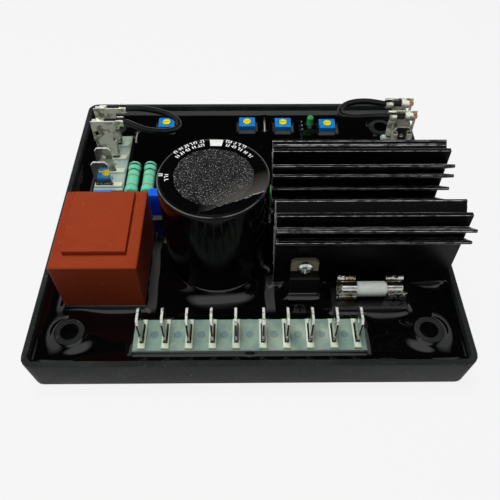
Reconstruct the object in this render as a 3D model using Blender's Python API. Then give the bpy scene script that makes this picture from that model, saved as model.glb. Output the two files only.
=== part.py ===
"""Potted automatic voltage regulator for a small generator.

A shallow moulded tray holds a circuit board under black resin. Out of the resin stand a sealed
transformer, a smoothing capacitor, two finned heat sinks with their power transistors, a fuse,
blade terminals in moulded strips, and five adjusting trimmers whose rotors turn.

Metres, +Z up. The origin is the centre of the tray's underside, +X is to the right of someone
who faces the ten front terminals, and +Y runs away from them.
"""
import math

import bmesh
import bpy
from mathutils import Matrix, Vector

MM = 0.001

# Clearances
GAP = 0.3 * MM                    # between pieces that seat on, in or against each other
TURNING_GAP = 0.3 * MM            # round a trimmer's rotor
TAB_GAP = 0.25 * MM               # between a blade and the receptacle pushed over it

# Tray
CASE_WIDTH = 140.0 * MM
CASE_DEPTH = 128.0 * MM
CASE_HEIGHT = 14.0 * MM
CASE_CORNER = 4.0 * MM
LEAST_CORNER = 0.8 * MM           # of the inner sections
CASE_DRAFT = 0.8 * MM             # how far each side leans in at the base
CASE_FOOT_CHAMFER = 0.5 * MM
RIM_WIDTH = 2.0 * MM
RIM_ROUND = 0.5 * MM
INNER_DRAFT = 0.6 * MM
FLOOR = 2.2 * MM
FLOOR_FILLET = 1.2 * MM

# Mounting bosses
BOSS_FROM_SIDE = 12.5 * MM        # from the tray's outer side to the hole's centre
BOSS_FROM_END = 13.5 * MM
BOSS_RADIUS = 5.0 * MM
BOSS_BELOW_RIM = 2.2 * MM
BOSS_PROUD = 1.6 * MM             # its top above the resin
BOSS_TAPER = 0.3 * MM
BOSS_EDGE = 0.3 * MM
MOUNTING_HOLE = 3.0 * MM          # radius

# Board. Each RISE below is a height above the resin.
BOARD_RAISE = 2.0 * MM            # solder side, above the floor
BOARD_THICKNESS = 1.6 * MM
BOARD_EDGE = 1.6 * MM             # from the inner wall's foot to the board's edge

# Transformer
TRANSFORMER_WIDTH_SHARE = 0.1936  # of the tray's width
TRANSFORMER_DEPTH_SHARE = 0.2547  # of the tray's depth
TRANSFORMER_FRONT_SHARE = 0.1828  # of the tray's depth, from its front
TRANSFORMER_RISE = 22.1 * MM
TRANSFORMER_FROM_LEFT = 8.7 * MM
TRANSFORMER_TAPER = 0.25 * MM
TRANSFORMER_EDGE = 0.4 * MM
PAD_RAISE = 1.9 * MM
PAD_FROM_LEFT = 3.8 * MM
PAD_FROM_RIGHT = 3.7 * MM
PAD_FROM_FRONT = 4.9 * MM
PAD_FROM_BACK = 2.1 * MM

# Capacitor
CAPACITOR_SHARE = 0.125           # its radius, of the tray's width
CAPACITOR_RISE = 38.8 * MM
CAPACITOR_FROM_TRANSFORMER = 5.8 * MM
CAPACITOR_FROM_FRONT = 28.5 * MM  # nearest point of the sleeve
SLEEVE_WALL = 0.4 * MM
SLEEVE_LIP = 5.2 * MM             # how far the sleeve folds in over the top
SHOULDER_ROUND = 1.0 * MM
CAN_EDGE = 0.9 * MM

# Heat sinks
SINK_FROM_RIGHT = 3.2 * MM
SINK_FROM_CAPACITOR = 1.5 * MM
SINK_RISE = 34.2 * MM
SINK_SPACING = 28.6 * MM          # between the two webs
FRONT_WEB_FROM_FRONT = 33.8 * MM
WEB_THICKNESS = 2.2 * MM
WEB_CROWN = 1.4 * MM              # the web's thickness at its top edge
WEB_TAPER = 26.0 * MM             # the height over which it thins
MOUNTING_FINS = 2                 # on the side that carries the transistor
MOUNTING_REACH = 4.6 * MM         # from the web's face to the fin's tip, level
MOUNTING_PITCH = 5.2 * MM
OPEN_FINS = 5
OPEN_FIRST_REACH = 5.5 * MM
OPEN_REACH = 7.1 * MM
OPEN_FIRST_PITCH = 2.8 * MM
OPEN_PITCH = 5.7 * MM
FIN_TIP_DROP = 0.8 * MM           # from the web's top to the first fin's tip
FIN_ANGLE = math.radians(42.0)
FIN_ROOT = 1.5 * MM
FIN_TIP = 1.1 * MM
FIN_TOOTH = 0.25 * MM             # serrations along each fin's upper face
TEETH_PER_FIN = 3

# Power transistors
TRANSISTOR_WIDTH = 10.0 * MM
TRANSISTOR_TAB_WIDTH = 9.0 * MM
TRANSISTOR_TAB_HEIGHT = 5.6 * MM
TRANSISTOR_TAB_THICKNESS = 1.3 * MM
TRANSISTOR_BODY_HEIGHT = 9.2 * MM
TRANSISTOR_BODY_THICKNESS = 4.4 * MM
TRANSISTOR_EDGE = 0.4 * MM
TRANSISTOR_CORNER = 1.2 * MM
TRANSISTOR_HOLE = 1.85 * MM
TRANSISTOR_FROM_SINK_END = 5.0 * MM
LEG_PITCH = 2.54 * MM
LEG_WIDTH = 0.8 * MM
LEG_THICKNESS = 0.5 * MM
LEG_ROOT = 1.0 * MM               # how far a leg runs up inside the body
LEG_FROM_SINK = 2.4 * MM
SCREW_SHANK = 1.3 * MM
SCREW_HEAD = 2.6 * MM
SCREW_HEAD_HEIGHT = 1.8 * MM
SCREW_RECESS_WIDTH = 0.7 * MM
SCREW_RECESS_SPAN = 2.8 * MM
SCREW_RECESS_DEPTH = 1.0 * MM
SCREW_BITE = 1.3 * MM             # how far the shank reaches into the web

# Blades and the moulded strips that carry them
BLADE_WIDTH = 6.35 * MM
BLADE_THICKNESS = 0.8 * MM
FRONT_PITCH = 7.4 * MM
SIDE_PITCH = 7.9 * MM
BLADE_RISE = 14.2 * MM
BLADE_CORNER = 1.3 * MM
BLADE_HOLE = 0.85 * MM
BLADE_HOLE_DROP = 4.0 * MM
STRIP_RISE = 2.0 * MM
STRIP_EDGE = 0.3 * MM
FRONT_STRIP_WIDTH = 11.4 * MM
FRONT_STRIP_MARGIN = 2.9 * MM     # from the last blade to the strip's outer end
FRONT_STRIP_FROM_FRONT = 6.2 * MM
FRONT_GROUP_GAP = 8.4 * MM        # between the inner blades of the two strips
FRONT_GROUP = 5                   # blades in each of the two strips
RIB_WIDTH = 2.5 * MM
RIB_HEIGHT = 0.9 * MM
RIB_END_MARGIN = 0.35 * MM
EJECTOR_MARK = 1.3 * MM
EJECTOR_DEPTH = 0.25 * MM
LEFT_BLOCK_WIDTH = 11.5 * MM
LEFT_BLOCK_FROM_LEFT = 9.7 * MM
LEFT_BLOCK_FRONT_MARGIN = 2.5 * MM
LEFT_BLOCK_BACK_MARGIN = 5.9 * MM
LEFT_BLADES = 4
LEFT_BLADES_ASIDE = 1.55 * MM     # from the block's middle, towards the tray's side
RIGHT_BLOCK_WIDTH = 11.0 * MM
RIGHT_BLOCK_FROM_RIGHT = 2.6 * MM
RIGHT_BLOCK_MARGIN = 1.7 * MM
RIGHT_BLADES = 2
BLOCK_BOSS_GAP = 0.8 * MM         # from a block's back end to the rear boss

# Flag receptacles
SHEET = 0.4 * MM
ROLL_HEIGHT = 7.2 * MM
ROLL_DROP = 2.7 * MM              # the rolled part's top, below the blade's tip
ROLL_RADIUS = 1.15 * MM           # centre line of each rolled edge
ROLL_TURN = math.radians(238.0)
ROLL_CLEAR = 0.65 * MM            # from the blade's edge to the roll's outer wall
WINDOW_WIDTH = 1.3 * MM           # the small opening through the neck
WINDOW_HEIGHT = 2.2 * MM
WINDOW_ASIDE = 2.6 * MM           # from the blade's middle, away from the wire
WINDOW_RISE = 1.3 * MM            # its middle above the blade's tip
BARREL_RADIUS = 1.3 * MM
BARREL_LENGTH = 2.9 * MM
BARREL_INSET = 2.1 * MM           # from the body's side to the conductor crimp
BARREL_RISE = 5.8 * MM            # from the blade's tip to the wire's axis
CLAW_RADIUS = 1.85 * MM
CLAW_LENGTH = 2.8 * MM
CLAW_OPENING = math.radians(70.0)
LEFT_CRIMP_SPACING = 4.8 * MM     # bare insulation between the two crimps
RIGHT_CRIMP_SPACING = 3.6 * MM
STRAND_RADIUS = 0.95 * MM
STRAND_END = 1.7 * MM

# Jumper wires
WIRE_RADIUS = 1.15 * MM
WIRE_RESOLUTION = 2
ROUTE_STEPS = 2                   # pieces between two chosen points

# Trimmers
TRIMMER_WIDTH = 6.9 * MM
TRIMMER_DEPTH = 6.0 * MM
TRIMMER_RISE = 3.3 * MM
TRIMMER_EDGE = 0.3 * MM
ROTOR_RADIUS = 1.75 * MM
ROTOR_HEIGHT = 1.1 * MM
ROTOR_PROUD = 0.15 * MM
ROTOR_SLOT_WIDTH = 0.6 * MM
ROTOR_SLOT_DEPTH = 0.5 * MM

# Fuse, its clips and base
FUSE_LENGTH = 20.0 * MM
FUSE_RADIUS = 2.5 * MM
CAP_RADIUS = 2.6 * MM
CAP_LENGTH = 5.2 * MM
CAP_WALL = 0.25 * MM
CAP_EDGE = 0.3 * MM
AXIS_OVER_CLIP = 4.5 * MM         # from the clip's underside to the fuse's axis
FUSE_FROM_FRONT = 25.9 * MM
CLIP_WIDTH = 5.8 * MM
CLIP_SHEET = 0.5 * MM
CLIP_SOLE = 1.7 * MM              # half the flat sole's width
CLIP_LIP_OUT = 0.95 * MM
CLIP_LIP_UP = 0.6 * MM
CLIP_OVERHANG = 0.8 * MM          # how far each clip reaches past the fuse's end
HOLDER_FROM_TRANSISTOR = 4.1 * MM
HOLDER_LENGTH = 25.0 * MM
HOLDER_WIDTH = 8.4 * MM
HOLDER_RISE = 2.0 * MM
HOLDER_EDGE = 0.4 * MM

# Small parts on the board
RESISTOR_RADIUS = 2.6 * MM
RESISTOR_WAIST = 2.35 * MM
RESISTOR_LENGTH = 16.0 * MM
RESISTOR_END = 3.4 * MM
RESISTOR_ROUND = 0.8 * MM
RESISTOR_PITCH = 6.2 * MM
RESISTOR_FROM_BLOCK = 1.0 * MM
RESISTOR_FROM_BACK = 46.6 * MM    # the resistors' middle
LEAD_RADIUS = 0.4 * MM
LEAD_RUN = 2.0 * MM
LEAD_BEND = 1.0 * MM
LED_RADIUS = 1.5 * MM
LED_RISE = 5.2 * MM
PIN_WIDTH = 0.64 * MM
PIN_RISE = 3.6 * MM
PIN_PITCH = 2.54 * MM
PIN_COUNT = 3
BLUE_WIDTH = 8.6 * MM
BLUE_DEPTH = 4.0 * MM
BLUE_RISE = 11.8 * MM
BLUE_BEHIND = 7.7 * MM            # its front from the transformer's back
BLUE_OVERLAP = 2.2 * MM           # how far it reaches in behind the transformer
BLUE_EDGE = 0.6 * MM
GREEN_WIDTH = 2.4 * MM
GREEN_DEPTH = 5.0 * MM
GREEN_RISE = 8.0 * MM
GREEN_BEHIND = 6.1 * MM           # its front from the rear web
GREEN_ASIDE = 0.4 * MM            # its middle from the sink's end
GREEN_EDGE = 0.9 * MM
LINK_RADIUS = 0.35 * MM
LINK_SIDES = 6
LINK_BEND = 0.8 * MM
LINK_RISE = 0.9 * MM
LEFT_LINK_LENGTH = 6.8 * MM
LEFT_LINK_FROM_BLOCK = 1.4 * MM
REAR_LINK_LENGTH = 9.4 * MM

# The row along the back: each place as a share of the tray's width, right of the middle, and
# how far its centre stands in front of the back edge
TRIMMER_ROW = {
    "trimmer_1": (-0.25, 12.0 * MM),
    "trimmer_2": (-0.0021, 11.8 * MM),
    "trimmer_3": (0.1086, 12.3 * MM),
    "trimmer_4": (0.2443, 13.1 * MM),
}
REAR_LINK = (0.0521, 10.3 * MM)
PINS = (0.1657, 14.6 * MM)
LED = (0.1936, 10.6 * MM)
LEFT_LINK_FROM_BACK = 19.1 * MM
LONE_TRIMMER_FROM_BLOCK = 1.0 * MM

# Derived levels and edges
BOARD_TOP = FLOOR + BOARD_RAISE + BOARD_THICKNESS
SEAT = BOARD_TOP + GAP
SOLDER_LEVEL = BOARD_TOP - BOARD_THICKNESS / 2
BOSS_TOP = CASE_HEIGHT - BOSS_BELOW_RIM
RESIN_TOP = BOSS_TOP - BOSS_PROUD
STRIP_TOP = RESIN_TOP + STRIP_RISE
BLADE_TOP = RESIN_TOP + BLADE_RISE
TRIMMER_TOP = RESIN_TOP + TRIMMER_RISE
HOLDER_TOP = RESIN_TOP + HOLDER_RISE
SINK_TOP = RESIN_TOP + SINK_RISE
LEFT, RIGHT = -CASE_WIDTH / 2, CASE_WIDTH / 2
FRONT, BACK = -CASE_DEPTH / 2, CASE_DEPTH / 2
BOSS_X = CASE_WIDTH / 2 - BOSS_FROM_SIDE
BOSS_Y = CASE_DEPTH / 2 - BOSS_FROM_END

COLOURS = {
    "case": ((0.035, 0.038, 0.038, 1), 0.55, 0.0),
    "resin": ((0.004, 0.004, 0.005, 1), 0.06, 0.0),
    "board": ((0.02, 0.12, 0.05, 1), 0.5, 0.0),
    "transformer": ((0.27, 0.055, 0.028, 1), 0.55, 0.0),
    "can": ((0.7, 0.7, 0.7, 1), 0.35, 1.0),
    "sleeve": ((0.006, 0.006, 0.006, 1), 0.15, 0.0),
    "disc": ((0.05, 0.05, 0.05, 1), 0.5, 0.0),
    "anodised": ((0.01, 0.01, 0.01, 1), 0.4, 0.3),
    "nylon": ((0.45, 0.54, 0.48, 1), 0.4, 0.0),
    "tinned": ((0.72, 0.70, 0.64, 1), 0.3, 1.0),
    "device": ((0.03, 0.03, 0.028, 1), 0.45, 0.0),
    "steel": ((0.6, 0.6, 0.6, 1), 0.3, 1.0),
    "wire": ((0.01, 0.01, 0.01, 1), 0.35, 0.0),
    "blue": ((0.01, 0.28, 0.65, 1), 0.3, 0.0),
    "deep_blue": ((0.005, 0.05, 0.6, 1), 0.3, 0.0),
    "yellow": ((0.75, 0.68, 0.04, 1), 0.4, 0.0),
    "ceramic": ((0.72, 0.73, 0.72, 1), 0.3, 0.0),
    "mint": ((0.17, 0.67, 0.44, 1), 0.35, 0.0),
    "led": ((0.02, 0.3, 0.05, 1), 0.1, 0.0),
    "green": ((0.03, 0.3, 0.1, 1), 0.3, 0.0),
    "bakelite": ((0.01, 0.01, 0.01, 1), 0.3, 0.0),
}


# Scene and material helpers

def clear_scene():
    for item in list(bpy.data.objects):
        bpy.data.objects.remove(item, do_unlink=True)


def material(name):
    found = bpy.data.materials.get(name)
    if found:
        return found
    colour, roughness, metallic = COLOURS[name]
    made = bpy.data.materials.new(name)
    made.use_nodes = True
    shader = made.node_tree.nodes["Principled BSDF"]
    shader.inputs["Base Color"].default_value = colour
    shader.inputs["Roughness"].default_value = roughness
    shader.inputs["Metallic"].default_value = metallic
    return made


def mesh_from(bm, name, sharp=35.0):
    mesh = bpy.data.meshes.new(name)
    bm.to_mesh(mesh)
    bm.free()
    mesh.shade_smooth()
    mesh.set_sharp_from_angle(angle=math.radians(sharp))
    return mesh


def place(name, mesh, finish, location=(0, 0, 0), turn=0.0):
    """Adds a named sub-part, turned about Z and set down at its location."""
    if not mesh.materials:
        mesh.materials.append(material(finish))
    item = bpy.data.objects.new(name, mesh)
    bpy.context.scene.collection.objects.link(item)
    item.location = location
    item.rotation_euler = (0, 0, turn)


# Shape helpers

def box(low, high):
    low, high = Vector(low), Vector(high)
    size = high - low
    bm = bmesh.new()
    place_box = Matrix.Translation((low + high) / 2) @ Matrix.Diagonal((*size, 1))
    bmesh.ops.create_cube(bm, size=1, matrix=place_box)
    return bm


def bevelled(bm, width, segments=2, chosen=lambda edge: True):
    """Rounds the chosen edges, or all of them."""
    edges = [edge for edge in bm.edges if chosen(edge)]
    bmesh.ops.bevel(bm, geom=edges, offset=width, segments=segments, profile=0.5,
                    affect='EDGES', material=-1)
    return bm


def upright(edge):
    """True for an edge that runs along Z."""
    along = edge.verts[1].co - edge.verts[0].co
    return abs(along.z) > 0.99 * along.length


def near_level(level):
    """Chooses the edges that lie at one height."""
    return lambda edge: all(abs(vert.co.z - level) < 1e-6 for vert in edge.verts)


def prism(outline, axis, start, end):
    """A closed outline extruded along X, Y or Z. Its points give the other two axes in order."""
    spots = {
        'X': lambda a, b: (start, a, b),
        'Y': lambda a, b: (a, start, b),
        'Z': lambda a, b: (a, b, start),
    }
    shift = {'X': (end - start, 0, 0), 'Y': (0, end - start, 0), 'Z': (0, 0, end - start)}
    bm = bmesh.new()
    face = bm.faces.new([bm.verts.new(spots[axis](a, b)) for a, b in outline])
    grown = bmesh.ops.extrude_face_region(bm, geom=[face])
    moved = [item for item in grown["geom"] if isinstance(item, bmesh.types.BMVert)]
    bmesh.ops.translate(bm, verts=moved, vec=shift[axis])
    bmesh.ops.recalc_face_normals(bm, faces=bm.faces)
    return bm


def cylinder(radius, low, high, centre=(0, 0), sides=32, top_radius=None):
    """An upright cylinder or cone."""
    bm = bmesh.new()
    where = Matrix.Translation((centre[0], centre[1], (low + high) / 2))
    bmesh.ops.create_cone(bm, cap_ends=True, segments=sides, radius1=radius,
                          radius2=radius if top_radius is None else top_radius,
                          depth=high - low, matrix=where)
    return bm


def turned(profile, sides=32):
    """A profile of (radius, height) points spun about Z into a closed body."""
    bm = bmesh.new()
    verts = [bm.verts.new((radius, 0, height)) for radius, height in profile]
    edges = [bm.edges.new(pair) for pair in zip(verts, verts[1:])]
    if profile[0][0] > 0:
        edges.append(bm.edges.new((verts[-1], verts[0])))
    bmesh.ops.spin(bm, geom=verts + edges, cent=(0, 0, 0), axis=(0, 0, 1),
                   angle=2 * math.pi, steps=sides, use_merge=True)
    bmesh.ops.remove_doubles(bm, verts=bm.verts, dist=0.002 * MM)
    bmesh.ops.recalc_face_normals(bm, faces=bm.faces)
    return bm


def swept(points, radius, sides=8):
    """A round bar along a polyline, with flat ends."""
    bm = bmesh.new()
    points = [Vector(point) for point in points]
    rings = []
    for index, point in enumerate(points):
        before = points[max(index - 1, 0)]
        after = points[min(index + 1, len(points) - 1)]
        facing = (after - before).normalized().to_track_quat('Z', 'Y').to_matrix().to_4x4()
        ring = bmesh.ops.create_circle(bm, segments=sides, radius=radius,
                                       matrix=Matrix.Translation(point) @ facing)
        rings.append(ring["verts"])
    for ring, following in zip(rings, rings[1:]):
        edges = ring_edges(ring) + ring_edges(following)
        bmesh.ops.bridge_loops(bm, edges=edges)
    bm.faces.new(rings[0])
    bm.faces.new(rings[-1])
    bmesh.ops.recalc_face_normals(bm, faces=bm.faces)
    return bm


def ring_edges(ring):
    members = set(ring)
    found = {edge for vert in ring for edge in vert.link_edges}
    return [edge for edge in found if all(vert in members for vert in edge.verts)]


def rounded_rectangle(half_x, half_y, radius, segments=5, centre=(0, 0)):
    """Corner points of a rectangle with round corners, anticlockwise."""
    points = []
    corners = [(1, 1, 0), (-1, 1, 90), (-1, -1, 180), (1, -1, 270)]
    for side_x, side_y, start in corners:
        for step in range(segments + 1):
            angle = math.radians(start + 90 * step / segments)
            x = side_x * (half_x - radius) + radius * math.cos(angle)
            y = side_y * (half_y - radius) + radius * math.sin(angle)
            points.append((centre[0] + x, centre[1] + y))
    return points


def lofted(sections):
    """Closes a body through level outlines, each a list of points and a height."""
    bm = bmesh.new()
    rings = [[bm.verts.new((x, y, level)) for x, y in outline] for outline, level in sections]
    for ring, following in zip(rings, rings[1:]):
        count = len(ring)
        for index in range(count):
            after = (index + 1) % count
            bm.faces.new((ring[index], ring[after], following[after], following[index]))
    bm.faces.new(rings[0])
    bm.faces.new(rings[-1])
    bmesh.ops.recalc_face_normals(bm, faces=bm.faces)
    return bm


def moved(bm, offset=(0, 0, 0), turn=None):
    if turn is not None:
        bmesh.ops.transform(bm, matrix=turn, verts=bm.verts)
    bmesh.ops.translate(bm, verts=bm.verts, vec=offset)
    return bm


def joined(parts):
    """Several bodies in one mesh, not yet united."""
    bm = bmesh.new()
    for part in parts:
        mesh = bpy.data.meshes.new("loose")
        part.to_mesh(mesh)
        part.free()
        bm.from_mesh(mesh)
        bpy.data.meshes.remove(mesh)
    return bm


def combined(subject, tool, operation):
    """The Boolean of two bodies, worked out by a modifier on helpers that are then removed."""
    helpers = []
    for part in (subject, tool):
        mesh = bpy.data.meshes.new("helper")
        part.to_mesh(mesh)
        part.free()
        helper = bpy.data.objects.new("helper", mesh)
        bpy.context.scene.collection.objects.link(helper)
        helpers.append(helper)
    cut = helpers[0].modifiers.new("cut", 'BOOLEAN')
    cut.operation = operation
    cut.solver = 'EXACT'
    cut.use_self = True
    cut.object = helpers[1]
    shown = helpers[0].evaluated_get(bpy.context.evaluated_depsgraph_get())
    result = bpy.data.meshes.new_from_object(shown)
    bm = bmesh.new()
    bm.from_mesh(result)
    for helper in helpers:
        mesh = helper.data
        bpy.data.objects.remove(helper, do_unlink=True)
        bpy.data.meshes.remove(mesh)
    bpy.data.meshes.remove(result)
    return bm


def united(parts):
    body = parts[0]
    for part in parts[1:]:
        body = combined(body, part, 'UNION')
    return body


def carved(body, tools):
    return combined(body, joined(tools), 'DIFFERENCE')


# Tray, board and resin

def inside_half(level):
    """Half width and half depth between the tray's inner walls at a height."""
    rise = (level - FLOOR) / (CASE_HEIGHT - FLOOR)
    lean = RIM_WIDTH + INNER_DRAFT * (1 - rise)
    return CASE_WIDTH / 2 - lean, CASE_DEPTH / 2 - lean


def boss_places():
    return [(x, y) for y in (-BOSS_Y, BOSS_Y) for x in (-BOSS_X, BOSS_X)]


def tray_section(inset, level, segments=4):
    radius = max(CASE_CORNER - inset, LEAST_CORNER)
    outline = rounded_rectangle(CASE_WIDTH / 2 - inset, CASE_DEPTH / 2 - inset, radius, segments)
    return outline, level


def make_tray():
    foot = RIM_WIDTH + INNER_DRAFT
    sections = [
        tray_section(CASE_DRAFT + CASE_FOOT_CHAMFER, 0),
        tray_section(CASE_DRAFT, CASE_FOOT_CHAMFER),
        tray_section(0, CASE_HEIGHT - RIM_ROUND),
        tray_section(RIM_ROUND * 0.3, CASE_HEIGHT - RIM_ROUND * 0.3),
        tray_section(RIM_ROUND, CASE_HEIGHT),
        tray_section(RIM_WIDTH - RIM_ROUND * 0.4, CASE_HEIGHT),
        tray_section(RIM_WIDTH, CASE_HEIGHT - RIM_ROUND * 0.4),
        tray_section(foot, FLOOR + FLOOR_FILLET),
        tray_section(foot + FLOOR_FILLET * 0.3, FLOOR + FLOOR_FILLET * 0.3),
        tray_section(foot + FLOOR_FILLET, FLOOR),
    ]
    shell = lofted(sections)
    bosses = []
    for centre in boss_places():
        boss = cylinder(BOSS_RADIUS + BOSS_TAPER, FLOOR / 2, BOSS_TOP, centre, 24, BOSS_RADIUS)
        bosses.append(bevelled(boss, BOSS_EDGE, 1, near_level(BOSS_TOP)))
    shell = combined(shell, joined(bosses), 'UNION')
    holes = [cylinder(MOUNTING_HOLE, -FLOOR, CASE_HEIGHT, centre, 24)
             for centre in boss_places()]
    place("case_tray", mesh_from(carved(shell, holes), "case_tray"), "case")


def make_board():
    """The board with the bare wires soldered to it: two links and three test pins."""
    low = FLOOR + BOARD_RAISE
    half_x, half_y = (CASE_WIDTH / 2 - RIM_WIDTH - INNER_DRAFT - BOARD_EDGE,
                      CASE_DEPTH / 2 - RIM_WIDTH - INNER_DRAFT - BOARD_EDGE)
    board = prism(rounded_rectangle(half_x, half_y, CASE_CORNER / 2, 2), 'Z', low, BOARD_TOP)
    round_boss = BOSS_RADIUS + BOSS_TAPER + GAP
    holes = [cylinder(round_boss, 0, CASE_HEIGHT, centre, 12) for centre in boss_places()]
    links, link_pockets = board_links()
    pins, pin_pockets = board_pins()
    board = combined(carved(board, holes), joined(links + pins), 'UNION')
    place("circuit_board", mesh_from(board, "circuit_board"), "board")
    return link_pockets + pin_pockets


def make_resin(pockets):
    """The potting, cast round the board, the bosses and the foot of every part."""
    sections = []
    for level in (FLOOR + FLOOR_FILLET + GAP, RESIN_TOP):
        half_x, half_y = inside_half(level)
        outline = rounded_rectangle(half_x - GAP, half_y - GAP, CASE_CORNER - RIM_WIDTH, 4)
        sections.append((outline, level))
    resin = lofted(sections)
    half_x, half_y = (CASE_WIDTH / 2 - RIM_WIDTH - INNER_DRAFT - BOARD_EDGE + GAP,
                      CASE_DEPTH / 2 - RIM_WIDTH - INNER_DRAFT - BOARD_EDGE + GAP)
    low = FLOOR + BOARD_RAISE - GAP
    cavity = box((-half_x, -half_y, low), (half_x, half_y, SEAT))
    round_boss = BOSS_RADIUS + BOSS_TAPER + GAP
    bosses = [cylinder(round_boss, 0, CASE_HEIGHT, centre, 24) for centre in boss_places()]
    resin = carved(resin, [cavity])
    resin = carved(resin, bosses)
    resin = carved(resin, pockets)
    place("potting_resin", mesh_from(resin, "potting_resin"), "resin")


def box_pocket(low, high):
    """Room in the resin round a part with straight sides, given its corners in X and Y."""
    return box((low[0] - GAP, low[1] - GAP, BOARD_TOP), (high[0] + GAP, high[1] + GAP, CASE_HEIGHT))


def round_pocket(centre, radius, sides=12):
    return cylinder(radius + GAP, BOARD_TOP, CASE_HEIGHT, centre, sides)


# Transformer and capacitor

TRANSFORMER_X = LEFT + TRANSFORMER_FROM_LEFT
TRANSFORMER_Y = FRONT + TRANSFORMER_FRONT_SHARE * CASE_DEPTH
TRANSFORMER_RIGHT = TRANSFORMER_X + TRANSFORMER_WIDTH_SHARE * CASE_WIDTH
TRANSFORMER_BACK = TRANSFORMER_Y + TRANSFORMER_DEPTH_SHARE * CASE_DEPTH


def make_transformer():
    centre = ((TRANSFORMER_X + TRANSFORMER_RIGHT) / 2, (TRANSFORMER_Y + TRANSFORMER_BACK) / 2)
    half_x, half_y = TRANSFORMER_RIGHT - centre[0], TRANSFORMER_BACK - centre[1]
    top = RESIN_TOP + TRANSFORMER_RISE
    sections = []
    for taper, level in ((TRANSFORMER_TAPER, SEAT), (0, top - TRANSFORMER_EDGE),
                         (TRANSFORMER_EDGE, top)):
        outline = rounded_rectangle(half_x - taper, half_y - taper, TRANSFORMER_EDGE * 1.5, 3,
                                    centre)
        sections.append((outline, level))
    body = lofted(sections)
    low = (TRANSFORMER_X + PAD_FROM_LEFT, TRANSFORMER_Y + PAD_FROM_FRONT, top - PAD_RAISE)
    high = (TRANSFORMER_RIGHT - PAD_FROM_RIGHT, TRANSFORMER_BACK - PAD_FROM_BACK,
            top + PAD_RAISE)
    pad = bevelled(box(low, high), TRANSFORMER_EDGE / 2, 2)
    body = combined(body, pad, 'UNION')
    place("transformer", mesh_from(body, "transformer"), "transformer")
    return box_pocket((TRANSFORMER_X, TRANSFORMER_Y), (TRANSFORMER_RIGHT, TRANSFORMER_BACK))


CAPACITOR_RADIUS = CAPACITOR_SHARE * CASE_WIDTH
CAPACITOR_TOP = RESIN_TOP + CAPACITOR_RISE
CAPACITOR_X = TRANSFORMER_RIGHT + CAPACITOR_FROM_TRANSFORMER + CAPACITOR_RADIUS
CAPACITOR_Y = FRONT + CAPACITOR_FROM_FRONT + CAPACITOR_RADIUS


def arc(centre, radius, start, end, steps):
    """Points on a circle, angles in degrees."""
    points = []
    for step in range(steps + 1):
        angle = math.radians(start + (end - start) * step / steps)
        points.append((centre[0] + radius * math.cos(angle),
                       centre[1] + radius * math.sin(angle)))
    return points


def make_capacitor():
    """Aluminium can, shrunk sleeve folded over its shoulder, and the disc under the fold."""
    inner = CAPACITOR_RADIUS - SLEEVE_WALL
    can_radius = inner - GAP
    lip_under = CAPACITOR_TOP - SLEEVE_WALL
    can_top = lip_under - GAP
    can = [(0, SEAT), (can_radius - CAN_EDGE, SEAT), (can_radius, SEAT + CAN_EDGE)]
    can += arc((can_radius - CAN_EDGE, can_top - CAN_EDGE), CAN_EDGE, 0, 90, 3)
    can += [(0, can_top)]
    lip = CAPACITOR_RADIUS - SLEEVE_LIP
    corner = SHOULDER_ROUND + SLEEVE_WALL
    sleeve = [(inner, SEAT), (CAPACITOR_RADIUS, SEAT)]
    sleeve += arc((CAPACITOR_RADIUS - corner, CAPACITOR_TOP - corner), corner, 0, 90, 3)
    sleeve += [(lip, CAPACITOR_TOP), (lip, lip_under)]
    sleeve += arc((inner - SHOULDER_ROUND, lip_under - SHOULDER_ROUND), SHOULDER_ROUND, 90, 0, 3)
    disc_radius = lip - GAP
    low, high = can_top + GAP, CAPACITOR_TOP - SLEEVE_WALL / 4
    disc = [(0, low), (disc_radius, low), (disc_radius, high), (0, high)]
    spot = (CAPACITOR_X, CAPACITOR_Y, 0)
    place("capacitor_can", mesh_from(turned(can, 24), "capacitor_can"), "can", spot)
    place("capacitor_sleeve", mesh_from(turned(sleeve, 44), "capacitor_sleeve"), "sleeve", spot)
    place("capacitor_top_disc", mesh_from(turned(disc, 32), "capacitor_top_disc"), "disc", spot)
    return round_pocket((CAPACITOR_X, CAPACITOR_Y), CAPACITOR_RADIUS, 44)


# Heat sinks

SINK_LEFT = CAPACITOR_X + CAPACITOR_RADIUS + SINK_FROM_CAPACITOR
SINK_RIGHT = RIGHT - SINK_FROM_RIGHT
TRANSISTOR_X = SINK_LEFT + TRANSISTOR_FROM_SINK_END + TRANSISTOR_WIDTH / 2
FRONT_WEB_Y = FRONT + FRONT_WEB_FROM_FRONT
REAR_WEB_Y = FRONT_WEB_Y + SINK_SPACING


def web_half(level):
    """Half the web's thickness at a height: it thins over the finned part."""
    share = min(max((level - SINK_TOP) / WEB_TAPER + 1, 0), 1)
    return (WEB_THICKNESS + (WEB_CROWN - WEB_THICKNESS) * share) / 2


def mounting_tips():
    """(reach, drop below the web's top) of each fin's tip, from the top one down."""
    return [(MOUNTING_REACH, FIN_TIP_DROP + index * MOUNTING_PITCH)
            for index in range(MOUNTING_FINS)]


def open_tips():
    """The same for the open side, whose top fin is shorter and closer to the next."""
    second = FIN_TIP_DROP + OPEN_FIRST_PITCH
    return [(OPEN_FIRST_REACH, FIN_TIP_DROP)] + [
        (OPEN_REACH, second + index * OPEN_PITCH) for index in range(OPEN_FINS - 1)]


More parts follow.
